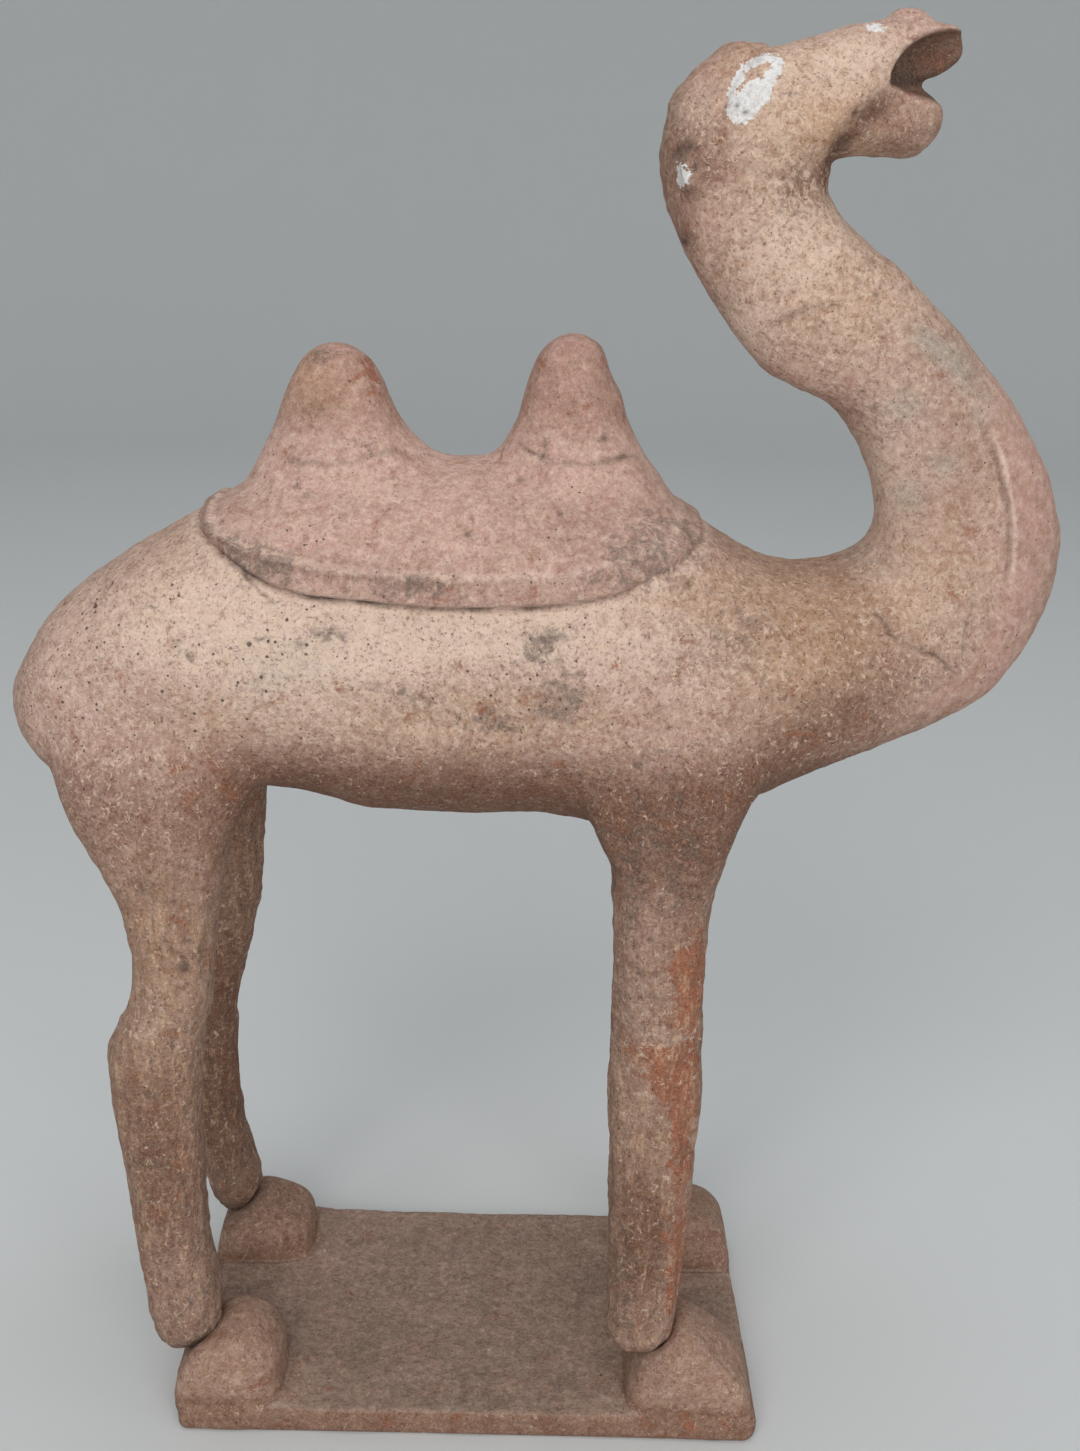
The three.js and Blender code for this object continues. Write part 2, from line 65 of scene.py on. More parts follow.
# Where the worn lines run on the finished skin, x z.
HEM = [(-98, 352), (-96.6, 344), (-93.6, 339.4), (-85.6, 335.6), (-77.9, 331.6), (-67.7, 326.7),
       (-56.3, 323.6), (-40.2, 322), (-27.4, 321.2), (-14.6, 320.4), (1.4, 320.5), (17.4, 321.4),
       (33.4, 322.9), (46.2, 326), (56.1, 329.8), (66.2, 334.4), (73.5, 338.6), (78.4, 348)]
BAND_TOP = [(-93, 352), (-91.6, 345), (-88.4, 341), (-78.5, 337.2), (-69.1, 335.4), (-60, 334.1),
            (-48.7, 332.3), (-37.5, 331), (-26.2, 330.4), (-14.9, 330.2), (7.5, 330.4),
            (26.8, 331.5), (42.8, 334.6), (55.9, 338.2), (65.4, 342.4), (70, 350)]
FRINGE = [(154, 402), (161.5, 386.5), (166.1, 377.7), (171.5, 364.9), (175.4, 351.8),
          (177.4, 335.2), (176.6, 321.5), (172.8, 307.6), (165.3, 297.3), (154, 287), (141, 274),
          (134, 256)]

BROW = [(90, 512), (88.6, 496), (85.4, 491.4), (79.6, 485.4), (76.4, 480.6), (74.4, 475),
        (75.4, 467), (77.4, 459), (72.8, 448.6), (71, 436)]

NEAR, BOTH = -1, 0


def rgb(r, g, b):
    """A colour as read off a picture, 0 to 255, as linear light."""
    out = []
    for v in (r, g, b):
        v /= 255.0
        out.append(v / 12.92 if v <= 0.04045 else ((v + 0.055) / 1.055) ** 2.4)
    return (*out, 1.0)


# Number tools
def step(low, high, v):
    t = np.clip((v - low) / (high - low), 0.0, 1.0)
    return t * t * (3.0 - 2.0 * t)


def bell(d, width):
    return np.exp(-(d / width) ** 2)


def noise(p, size, seed):
    """Smooth noise from -1 to 1 with cells of that size."""
    q = p / size
    cell = np.floor(q).astype(np.int64)
    f = q - cell
    f = f * f * (3.0 - 2.0 * f)
    out = np.zeros(len(p))
    for corner in range(8):
        bit = np.array([corner & 1, corner >> 1 & 1, corner >> 2 & 1])
        c = cell + bit
        h = c[:, 0] * 73856093 ^ c[:, 1] * 19349663 ^ c[:, 2] * 83492791 ^ seed * 2654435761
        h = ((h ^ (h >> 13)) * 1274126177) & 0xFFFFFFFF
        value = ((h ^ (h >> 15)) & 0xFFFF) / 32767.5 - 1.0
        w = np.where(bit, f, 1.0 - f)
        out += value * w[:, 0] * w[:, 1] * w[:, 2]
    return out


def rough_noise(p, size, seed, octaves=4, gain=0.5):
    total = np.zeros(len(p))
    amount, span = 1.0, 0.0
    for k in range(octaves):
        total += amount * noise(p, size / 2 ** k, seed + 17 * k)
        span += amount
        amount *= gain
    return total / span


def curve(points, per=6):
    """A smooth line through the points."""
    p = np.array(points, float)
    p = np.vstack([2 * p[0] - p[1], p, 2 * p[-1] - p[-2]])
    t = np.linspace(0, 1, per, endpoint=False)[:, None]
    out = []
    for a, b, c, d in zip(p[:-3], p[1:-2], p[2:-1], p[3:]):
        out.append(0.5 * (2 * b + (c - a) * t + (2 * a - 5 * b + 4 * c - d) * t ** 2
                          + (3 * b - a - 3 * c + d) * t ** 3))
    return np.vstack([*out, p[-2][None]])


def along(points, x, z, reach=16.0):
    """Distance to a line, with its sign for the left side of travel, and the share run."""
    line = curve(points)
    low, high = line.min(0) - reach, line.max(0) + reach
    near = np.flatnonzero((x > low[0]) & (x < high[0]) & (z > low[1]) & (z < high[1]))
    best = np.full(len(x), 1e6)
    side = np.ones(len(x))
    share = np.zeros(len(x))
    px, pz = x[near], z[near]
    b_best, b_side, b_share = best[near], side[near], share[near]
    count = len(line) - 1
    for i in range(count):
        a, b = line[i], line[i + 1]
        ex, ez = b - a
        t = np.clip(((px - a[0]) * ex + (pz - a[1]) * ez) / (ex * ex + ez * ez), 0, 1)
        dx, dz = px - a[0] - t * ex, pz - a[1] - t * ez
        d = np.hypot(dx, dz)
        k = d < b_best
        b_best[k] = d[k]
        b_side[k] = np.sign(ex * dz - ez * dx)[k]
        b_share[k] = ((i + t) / count)[k]
    best[near], side[near], share[near] = b_best, b_side, b_share
    return best, side, share


def blob(x, z, place, size, turn=0.0):
    """1 at the middle of an ellipse, falling softly to 0 outside it."""
    c, s = math.cos(turn), math.sin(turn)
    dx, dz = x - place[0], z - place[1]
    u, v = (dx * c + dz * s) / size[0], (dz * c - dx * s) / size[1]
    return np.exp(-(u * u + v * v))


# Mesh tools
class Skin:
    """A fine closed mesh made from a CAD node's shape, held as arrays in millimetres."""

    def __init__(self, node, voxel):
        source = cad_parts[node]
        self.object = bpy.data.objects.new(node + "_skin", source.data.copy())
        scene.collection.objects.link(self.object)
        mod = self.object.modifiers.new("remesh", "REMESH")
        mod.mode = "VOXEL"
        mod.voxel_size = voxel * MM
        self.voxel = voxel
        self.bake()
        self.read()

    def bake(self):
        graph = bpy.context.evaluated_depsgraph_get()
        mesh = bpy.data.meshes.new_from_object(self.object.evaluated_get(graph))
        self.object.modifiers.clear()
        old = self.object.data
        self.object.data = mesh
        bpy.data.meshes.remove(old)

    def read(self):
        mesh = self.object.data
        co = np.empty(len(mesh.vertices) * 3)
        mesh.vertices.foreach_get("co", co)
        self.p = co.reshape(-1, 3) / MM

    def write(self):
        self.object.data.vertices.foreach_set("co", (self.p * MM).ravel())
        self.object.data.update()

    def normals(self):
        self.write()
        out = np.empty(len(self.p) * 3)
        self.object.data.vertex_normals.foreach_get("vector", out)
        return out.reshape(-1, 3)

    def neighbours(self):
        """The vertices next to each vertex, padded with the vertex itself."""
        mesh = self.object.data
        edges = np.empty(len(mesh.edges) * 2, np.int32)
        mesh.edges.foreach_get("vertices", edges)
        edges = edges.reshape(-1, 2)
        ends = np.concatenate([edges[:, 0], edges[:, 1]])
        others = np.concatenate([edges[:, 1], edges[:, 0]])
        order = np.argsort(ends, kind="stable")
        ends, others = ends[order], others[order]
        n = len(self.p)
        degree = np.bincount(ends, minlength=n)
        first = np.cumsum(degree) - degree
        table = np.tile(np.arange(n, dtype=np.int32)[:, None], (1, degree.max()))
        table[ends, np.arange(len(ends)) - first[ends]] = others
        return table

    def smoothed(self, table, field, reach):
        """The field averaged over the skin, out to reach millimetres at each vertex."""
        f = np.array(field, np.float32)
        share = table.shape[1]
        rounds = (2.0 * reach / self.voxel) ** 2 * 0.5 * share / 4.0
        for k in range(int(math.ceil(rounds.max()))):
            busy = np.flatnonzero(rounds > k)
            weight = np.clip(rounds[busy] - k, 0, 1).astype(np.float32)
            near = table[busy]
            total = f[near[:, 0]]
            for j in range(1, share):
                total = total + f[near[:, j]]
            here = f[busy]
            f[busy] = here + weight[:, None] * (total / share - here)
        return f.astype(float)

    def soften(self, reach, extra):
        """Takes the facets off without shrinking the form. Returns the same done to extra."""
        table = self.neighbours()
        first = self.p.copy()
        both = self.smoothed(table, np.column_stack([self.p, extra]), reach)
        self.p, thin = both[:, :3].copy(), both[:, 3]
        normal = self.normals()
        lost = np.einsum("ij,ij->i", first - self.p, normal)
        back = self.smoothed(table, np.column_stack([lost, extra - thin]), reach)
        self.p += normal * back[:, :1]
        return thin + back[:, 1]

    def thin_out(self, triangles):
        mesh = self.object.data
        count = sum(len(f.vertices) - 2 for f in mesh.polygons)
        if count > triangles:
            mod = self.object.modifiers.new("thin", "DECIMATE")
            mod.ratio = triangles / count
            self.bake()
            self.read()

    def fit(self, node):
        """Keeps the skin inside its CAD solid's box."""
        low, high = (np.array(corner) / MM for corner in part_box(node))
        mine_low, mine_high = self.p.min(0), self.p.max(0)
        low, high = np.maximum(low, mine_low), np.minimum(high, mine_high)
        self.p = low + (self.p - mine_low) * (high - low) / (mine_high - mine_low)

    def mark(self, name, values):
        layer = self.object.data.attributes.new(name, "FLOAT", "POINT")
        layer.data.foreach_set("value", np.clip(values, 0, 1).astype(np.float32))


# The camel's form
def cad_relief(p):
    """How thick the raised work of the source is at each point."""
    x, z = p[:, 0], p[:, 2]
    hem = curve(CAD_HEM)
    over = (x > hem[0, 0]) & (x < hem[-1, 0]) & (z > np.interp(x, hem[:, 0], hem[:, 1]))
    over &= (z < 410) & (x < 81 - 11 * (z - 372) / 38)
    middle = (hem[0, 0] + hem[-1, 0]) / 2
    pull = (hem[:, 0] - middle) / (hem[-1, 0] - hem[0, 0])
    inner = np.stack([hem[:, 0] - pull * CAD_RIM_WIDTH * 1.6, hem[:, 1] + CAD_RIM_WIDTH], 1)
    rim = over & (z < np.interp(x, inner[:, 0], inner[:, 1]))
    out = np.where(over, np.where(rim, CAD_RIM, CAD_CLOTH), 0.0)
    for points, depth, sign in ((CAD_MANE, CAD_MANE_STEP, -1), (CAD_FRINGE, CAD_FRINGE_STEP, 1)):
        line = curve(points)[::-1]
        edge = np.interp(z, line[:, 1], line[:, 0])
        inside = (z > line[0, 1]) & (z < line[-1, 1]) & ((x - edge) * sign > 0)
        out += np.where(inside & (x > 40), depth, 0.0)
    return out


def camel_reach(p):
    """How far the facets are averaged out, in millimetres: far on the body, little on the head."""
    x, z = p[:, 0], p[:, 2]
    body = 6.6
    neck = step(80, 120, x) * step(300, 350, z)
    reach = body + (5.0 - body) * neck
    head = step(430, 452, z)
    reach += (2.9 - reach) * head
    lips = step(118, 128, x) * head
    reach += (1.9 - reach) * lips
    legs = 1 - step(205, 262, z)
    reach += (4.2 - reach) * legs
    ends = 1 - step(34, 52, z)
    reach += (1.5 - reach) * ends
    humps = step(366, 384, z) * (1 - step(62, 72, x))
    reach += (4.0 - reach) * humps
    return reach


# Grooves and ridges pressed along lines: points x z, height, half width, side, darkness
# (dirt and painted shade in the groove), how much the line wobbles.
STROKES = [
    # crack where the band's lower edge has lifted
    ([(-93, 338.6), (-85.6, 335.2), (-77.9, 331), (-67.7, 326), (-56.3, 322.9), (-40.2, 321.4),
      (-27.4, 320.5), (-14.6, 319.8), (1.4, 319.9), (17.4, 320.9), (33.4, 322.4), (46.2, 325.4),
      (56.1, 329.2)], -1.5, 0.85, NEAR, 0.7, 0.5),
    # a slanting crack that runs on from it
    ([(-77, 330), (-70.8, 324.3), (-67.8, 322.1), (-63.8, 319.6)], -0.9, 0.7, NEAR, 0.9, 0.5),
    # cracks round the foot of each hump
    ([(10.9, 369.7), (15, 366.4), (19.4, 365.2), (26.1, 363.4), (39.3, 363.3), (50, 364.4),
      (57, 360)], -0.55, 0.9, NEAR, 0.6, 1.0),
    ([(20.6, 371), (21.1, 367.3), (20.2, 362.6)], -0.9, 0.8, NEAR, 0.9, 0.4),
    ([(38, 366), (44, 364.6), (49, 366.2)], -0.7, 0.8, NEAR, 0.7, 0.6),
    ([(-68.9, 362.5), (-56.3, 361), (-43, 361.8), (-30.3, 364.6), (-22, 362)],
     -0.4, 1.0, NEAR, 0.45, 1.0),
    # fold at the top of the neck
    ([(91.5, 405.6), (93.9, 408.3), (96.9, 410.6), (101.4, 412.7), (109, 415.1), (115.5, 414.6)],
     -2.3, 1.5, NEAR, 0.25, 0.4),
    ([(95, 412.6), (100.6, 415.4), (108, 417.6), (115, 417.2)], 1.6, 2.0, NEAR, 0.0, 0.4),
    ([(97, 391), (104.6, 389.6), (109.2, 388.6), (115, 387)], 0.5, 1.6, NEAR, 0.0, 0.3),
    ([(98, 388), (104.6, 386.6), (110, 385.4)], -0.5, 1.4, NEAR, 0.3, 0.3),
    # wavy cracks low on the neck
    ([(132, 316.6), (134.8, 314.3), (141.7, 308.1), (152.3, 303.1), (158, 298.6), (164.1, 293.7)],
     -1.3, 0.9, NEAR, 0.8, 1.1),
    ([(131.4, 318.6), (136, 315.6), (143, 309.8), (153, 305), (165, 296)], 1.3, 1.2, NEAR, 0.0, 1.0),
    ([(138, 322), (146, 316), (156, 311.6), (164, 306)], 0.9, 1.0, NEAR, 0.0, 1.4),
    ([(128, 330), (136, 325), (141, 318)], 0.8, 1.0, NEAR, 0.0, 1.4),
    ([(167.3, 324), (165.6, 318), (164.2, 311.3), (163.4, 301)], -0.6, 0.7, NEAR, 0.7, 0.8),
    ([(165.8, 324), (164, 318), (162.6, 311.3), (161.8, 301)], 0.5, 0.9, NEAR, 0.0, 0.8),
    ([(146, 297), (152, 293), (158, 290)], -0.6, 0.8, NEAR, 0.6, 0.8),
    # under the edge of the brow
    ([(73.6, 469), (74.9, 476), (77, 481.2), (80.6, 485.8), (86.4, 491.4)], -0.8, 1.2, BOTH, 0.55, 0.2),
    # valley behind the chin, and the fold of cheek above it
    ([(122.6, 475.2), (118, 472.2), (113.6, 467.6), (111, 462), (109.6, 456)], -4.4, 2.9, BOTH, 0.75, 0.2),
    ([(122, 479), (115.6, 476.4), (110.4, 472), (107, 466)], 1.7, 2.6, BOTH, 0.0, 0.2),
    ([(128, 470.5), (134, 468.4), (140, 469.6)], -0.8, 1.3, BOTH, 0.4, 0.8),
    ([(127, 475.5), (132, 476.4), (137, 474.6)], -0.6, 1.1, BOTH, 0.3, 0.8),
    # creases at the throat
    ([(83, 450.4), (87, 448.8), (92, 449.4), (98, 447.6)], -0.7, 0.8, NEAR, 0.5, 0.9),
    ([(88, 455), (92, 453.6), (97, 454.4), (101, 452.6)], -0.6, 0.7, NEAR, 0.45, 0.9),
    ([(79, 458), (83, 455.6), (86, 456.4)], -0.5, 0.7, NEAR, 0.4, 0.9),
    ([(91, 444), (96, 443.2), (101, 444.2)], -0.5, 0.8, NEAR, 0.4, 0.9),
    # the ear: a curled hollow above, a crevice below
    ([(58.6, 457.4), (60.2, 461), (63.4, 463), (66.8, 461.6)], -2.0, 1.3, BOTH, 1.1, 0.2),
    ([(59.6, 455), (61.6, 459.4), (64.4, 460)], 0.7, 1.0, BOTH, 0.0, 0.2),
    ([(63.6, 450.4), (66.4, 447.4), (69.6, 449.2)], -0.9, 1.1, BOTH, 0.7, 0.3),
    # seams on the legs
    ([(-106, 205), (-102.4, 199), (-99, 194.6), (-97.4, 189)], -0.9, 1.0, NEAR, 0.9, 0.6),
    ([(-121, 172), (-119, 150), (-117.6, 128), (-115, 104)], -0.35, 1.0, NEAR, 0.3, 1.6),
    ([(-104, 168), (-106.4, 140), (-105, 110), (-103, 84)], -0.35, 0.9, NEAR, 0.3, 1.6),
    ([(68.4, 116), (69.4, 90), (69.8, 62), (70.6, 44)], -0.5, 0.8, NEAR, 0.45, 1.2),
    ([(57.4, 110), (57, 86), (58.6, 60), (58, 44)], -0.4, 0.9, NEAR, 0.4, 1.2),
]

# Pits and dents: place x z, half sizes, depth, side, darkness (dirt and painted shade in the pit).
PITS = [
    ((64.8, 433.4), (1.6, 1.9), -1.4, NEAR, 1.0), ((-3.5, 342.6), (1.3, 1.2), -0.8, NEAR, 0.9),
    ((26.4, 348.6), (1.1, 1.1), -0.7, NEAR, 0.9), ((69.4, 327.5), (1.5, 1.3), -0.9, NEAR, 0.9),
    ((40.6, 371.2), (1.8, 1.4), -0.9, NEAR, 0.9), ((13, 357.2), (1.2, 1.0), -0.6, NEAR, 0.7),
    ((114.4, 473.4), (1.3, 1.1), -1.5, BOTH, 1.0), ((77.5, 474.6), (1.0, 1.3), -0.7, NEAR, 0.9),
    ((80.2, 472.7), (1.1, 1.0), -0.7, NEAR, 0.9), ((-66, 331), (1.6, 1.1), -0.7, NEAR, 0.7),
    ((22.5, 311), (2.4, 1.6), -0.6, NEAR, 0.7), ((27.8, 291.3), (2.6, 1.8), -0.6, NEAR, 0.6),
    ((34, 300), (1.5, 1.3), -0.6, NEAR, 0.8), ((-57, 307.6), (2.4, 1.8), -0.5, NEAR, 0.6),
    ((-100, 191.4), (2.4, 2.0), -1.2, NEAR, 0.9), ((106, 402), (14, 8), -1.1, NEAR, 0.0),
    ((-19, 281), (24, 8), -0.8, NEAR, 0.0), ((44, 276), (20, 14), -0.7, NEAR, 0.0),
    ((-88, 288), (22, 12), 0.8, NEAR, 0.0), ((95, 312), (16, 12), -0.8, NEAR, 0.0),
    ((-107, 233), (11, 9), 0.7, NEAR, 0.0), ((-104, 178), (8, 6), 0.9, NEAR, 0.0),
    ((-118, 160), (7, 8), 0.8, NEAR, 0.0), ((66, 214), (9, 14), -0.5, NEAR, 0.0),
]


def side_share(y, side, edge=6.0):
    return 1.0 if side == BOTH else step(-edge, edge, y * side)


def strokes(p):
    """The pressed lines as heights, and how dark dirt and painted shade make each."""
    height = np.zeros(len(p))
    dark_dirt_and_shade = np.zeros(len(p))
    for k, (points, tall, width, side, dirt_and_shade_share, wobble) in enumerate(STROKES):
        d, sign, share = along(points, p[:, 0], p[:, 2], 8.0)
        near = np.flatnonzero((d < 8.0) & (side_share(p[:, 1], side) > 0))
        q, d, share = p[near], (d * sign)[near], share[near]
        d = np.abs(d + wobble * noise(q, 5.0, 300 + k))
        ends = step(0, 0.1, share) * step(0, 0.1, 1 - share)
        broken = np.clip(0.65 + 0.5 * noise(q, 6.0, 340 + k), 0.1, 1.1)
        amount = side_share(q[:, 1], side) * ends * broken
        height[near] += tall * bell(d, width) * amount
        dark_dirt_and_shade[near] += dirt_and_shade_share * bell(d, width * 0.8) * amount
    for place, size, tall, side, dirt_and_shade_share in PITS:
        here = blob(p[:, 0], p[:, 2], place, size) * side_share(p[:, 1], side)
        height += tall * here
        dark_dirt_and_shade += dirt_and_shade_share * here ** 1.5
    return height, dark_dirt_and_shade


def signed(points, x, z, across):
    """Distance to a line of the form, positive on its raised side, out to 30 mm."""
    line = curve(points)
    d, _, _ = along(points, x, z, 30.0)
    d = np.minimum(d, 30.0)
    if across == "up":
        inside = (x > line[0, 0]) & (x < line[-1, 0]) & (z > np.interp(x, line[:, 0], line[:, 1]))
        inside &= (z < 410) & (x < 81 - 11 * (z - 372) / 38)
    else:
        line = line[::-1]
        sign = 1 if across == "front" else -1
        inside = (z > line[0, 1]) & (z < line[-1, 1])
        inside &= (x - np.interp(z, line[:, 1], line[:, 0])) * sign > 0
    return np.where(inside, d, -d)


def worn_relief(p):
    """The raised work as it shows in the photo: heights, and a few masks for the colours."""
    x, y, z = p.T
    wobble = 0.35 * noise(p, 9.0, 21)
    over = signed(HEM, x, z, "up") + wobble
    top = signed(BAND_TOP, x, z, "up") + wobble
    cloth = step(-0.5, 1.5, over)
    band = cloth * (1 - step(-1.0, 0.8, top))
    fading = 1 - 0.75 * step(5, 45, x)
    out = CAD_CLOTH * cloth + 0.7 * band * fading
    out += 0.5 * bell(over + 2.6, 1.7) * fading
    worn = np.clip(0.5 + 0.9 * noise(p, 15, 22) + 0.4 * noise(p, 5, 29), 0, 1.2)
    left = 1 - 0.75 * step(-20, 40, x)
    out += (1.0 * bell(top + 0.4, 1.2) - 0.6 * bell(top - 2.4, 1.3)) * worn * cloth * left
    out -= 0.3 * bell(top - 2.2, 1.2) * cloth
    out -= 0.5 * bell(over + 0.5, 0.8) * fading
    # scabby clay at the front end of the hem
    scab = blob(x, z, (57, 337), (21, 10), 0.5) * step(-6, 6, np.abs(y) - 20)
    out += scab * (0.7 * noise(p * (0.6, 1, 1.2), 3.4, 24) + 0.35 * noise(p, 1.7, 25))
    # the brow and poll stand proud of the cheek; below the ear the edge dies away
    brow = signed(BROW, x, z, "back") + 0.3 * wobble
    mane = step(-1.0, 1.0, brow) * step(448, 468, z)
    out += 1.1 * mane * (0.35 + 0.65 * step(462, 480, z))
    front = signed(FRINGE, x, z, "front") + 0.25 * noise(p, 7.0, 23)
    fringe = step(-2.2, 1.6, front) * step(252, 290, z) * (1 - step(370, 400, z))
    out += 0.9 * fringe
    ridge = step(322, 334, z) * (1 - step(368, 378, z))
    out += 0.75 * bell(front - 0.6, 0.9) * ridge
    out -= 0.7 * bell(front + 1.2, 0.9) * ridge
    masks = {"cloth": cloth, "band": band, "mane": mane, "fringe": fringe, "over": over, "top": top,
             "front": front, "scab": scab, "brow": brow, "ridge": ridge}
    return out, masks


def capsule(x, z, a, b, ra, rb):
    """How far inside a tapered bar a point is, in millimetres."""
    ex, ez = b[0] - a[0], b[1] - a[1]
    t = np.clip(((x - a[0]) * ex + (z - a[1]) * ez) / (ex * ex + ez * ez), 0, 1)
    return ra + (rb - ra) * t - np.hypot(x - a[0] - t * ex, z - a[1] - t * ez)


def eye_flakes(p):
    """White slip left round the eye, as millimetres inside its edge."""
    x, y, z = p.T
    main = capsule(x, z, (78.8, 473.9), (84.0, 479.0), 4.5, 3.8)
    tail = capsule(x, z, (84.0, 479.0), (90.0, 486.4), 2.9, 1.3)
    shape = np.maximum(main, tail)
    rim = [(75.6, 477.6), (76.6, 481.4), (79.0, 484.6), (82.2, 487.4), (86.0, 488.8), (90.4, 487.6)]
    for a, b in zip(rim, rim[1:]):
        shape = np.maximum(shape, capsule(x, z, a, b, 1.05, 1.05))
    return shape + 0.7 * rough_noise(p, 4.0, 31, 2)


LIP_EDGE = [(124.4, 482), (125.8, 487.6), (128.2, 491.6), (131.6, 494.8), (136, 497.2),
            (141, 498.8), (146.5, 499.4), (152, 498.6)]


def lip_leaf(p):
    """1 on the hollow side of the raised upper lip."""
    x, y, z = p.T
    d, sign, _ = along(LIP_EDGE, x, z, 26.0)
    inside = np.where(d > 1e5, -9, -d * sign)
    return step(0.0, 1.5, inside) * step(122, 126, x) * step(481, 484, z + 0.28 * (x - 126))


def camel_form():
    skin = Skin("camel", 1.1)
    kept = skin.soften(camel_reach(skin.p), cad_relief(skin.p))
    p = skin.p.copy()
    x, y, z = p.T
    head = step(436, 458, z)
    legs = 1 - step(200, 250, z)
    low = 1 - step(40, 62, z)

    out, masks = worn_relief(p)
    out -= kept
    out += 0.42 * noise(p, 41, 1) * (1 - 0.7 * head)
    out += 0.4 * noise(p, 19, 2) * (1 - 0.4 * head)
    out += 0.27 * noise(p, 8.5, 3)
    grainy = 1 - 0.45 * masks["cloth"] - 0.3 * masks["fringe"]
    out += grainy * (0.2 * noise(p, 4.1, 4) + 0.16 * noise(p, 2.6, 5))
    # scrapes that run down the legs
    out += legs * 0.42 * noise(p * (1, 1, 0.16), 3.6, 6)
    out += legs * 0.3 * noise(p * (1, 1, 0.14), 2.3, 7)
    out -= legs * 0.7 * step(0.2, 0.6, noise(p * (1, 1, 0.32), 5.6, 11))
    out += legs * 0.3 * noise(p, 3.0, 16)
    # ragged ends of the leg stumps
    out += low * (0.75 * noise(p, 7.5, 8) + 0.4 * noise(p, 3.2, 9))
    pressed, dark_dirt_and_shade = strokes(p)
    out += pressed
    # white slip round the eyes, a thin crust
    out += 0.28 * step(-0.4, 0.4, eye_flakes(p)) * head
    # the brow's bulge over the eye, and the dip in front of it
    out += 1.3 * blob(x, z, (78.5, 491), (8, 5.5)) - 0.6 * blob(x, z, (90.5, 496), (4, 5))
    # the chin's lumps and the lower lip's rim
    out += 1.2 * blob(x, z, (136, 472.5), (6, 3.6)) + 0.9 * blob(x, z, (126.5, 468.5), (4, 3))
    out += 0.9 * blob(x, z, (117, 480), (7, 4.5))
    # the ear's lobe
    out += 0.9 * blob(x, z, (64.6, 456.4), (2.6, 3.2)) * step(12, 17, np.abs(y))
    # lumpy modelling of the head and the upper neck
    lumps = step(395, 440, z)
    out += lumps * (0.3 * noise(p, 6.0, 12) + 0.2 * noise(p, 3.2, 13))
    # coarse clay low on the flank and behind the shoulder
    coarse = blob(x, z, (-6, 282), (62, 13)) + 0.6 * blob(x, z, (60, 274), (30, 16))
    out += coarse * (0.5 * noise(p, 3.4, 14) + 0.3 * noise(p, 6.5, 15))
    # wrinkled skin at the throat
    throat = blob(x, z, (92, 450), (12, 9))
    out += throat * 0.5 * noise(p * (0.5, 0.7, 1.3), 2.8, 10)
    skin.p += skin.normals() * out[:, None]
    # the back of each front stump hangs lower, so its end is blunt
    stump = (1 - step(38, 60, z)) * (1 - step(57, 74, x)) * step(40, 46, x)
    skin.p[:, 2] -= 5.0 * stump
    skin.p[:, 0] -= 1.2 * stump
    # the lip is hollowed from each side under a crisp upper edge
    skin.p[:, 1] *= 1 - 0.62 * lip_leaf(p)
    skin.fit("camel")
    skin.write()
    skin.thin_out(190000)
    skin.fit("camel")
    skin.write()
    return skin


# The plinth's form
def feet_spread(x, y, long, wide):
    """1 under the middle of each foot, falling softly to 0 around it."""
    out = np.zeros(len(x))
    for cx in (-90, 88):
        for cy in (-43, 43):
            out = np.maximum(out, blob(x, y, (cx, cy), (long, wide)))
    return out


def plinth_form():
    skin = Skin("plinth", 1.0)
    x, y, z = skin.p.T
    foot = step(10.6, 14, z)
    round_foot = feet_spread(x, y, 26, 24)
    reach = 1.5 + 2.1 * foot + 3.0 * step(0.15, 0.6, round_foot) * step(7, 10, z) * (1 - step(15, 22, z))
    skin.soften(reach, np.zeros(len(skin.p)))
    p = skin.p.copy()
    x, y, z = p.T
    normal = skin.normals()
    foot = step(10.8, 15, z)
    top = step(0.6, 0.9, normal[:, 2]) * (1 - foot)
    edge = (1 - np.abs(normal[:, 2])) * (1 - foot)
    out = 0.3 * noise(p, 31, 51) + 0.22 * noise(p, 13, 52) + 0.12 * noise(p, 5, 53)
    out += 0.1 * noise(p, 2.3, 54)
    out += foot * (0.45 * noise(p, 15, 55) + 0.2 * noise(p, 6.5, 56))
    out += edge * (0.35 * noise(p * (0.09, 0.09, 1), 2.4, 57) + 0.5 * noise(p, 21, 59))
    out += top * (0.2 * rough_noise(p * (0.5, 1, 1), 9, 58) + 0.16 * noise(p, 3.4, 60))
    out += top * 1.7 * step(0.16, 0.42, feet_spread(x, y, 26, 24))
    # clay smeared up round each foot
    lift = blob(x, y, (52, -43), (12, 16)) + blob(x, y, (-66, -43), (6, 14)) * 0.6
    out += top * 1.3 * lift
    out = np.where(normal[:, 2] < -0.7, 0.0, out)
    skin.p += normal * out[:, None]
    skin.p[:, 2] = np.maximum(skin.p[:, 2], 0.0)
    skin.fit("plinth")
    skin.write()
    skin.thin_out(180000)
    skin.fit("plinth")
    skin.write()
    return skin


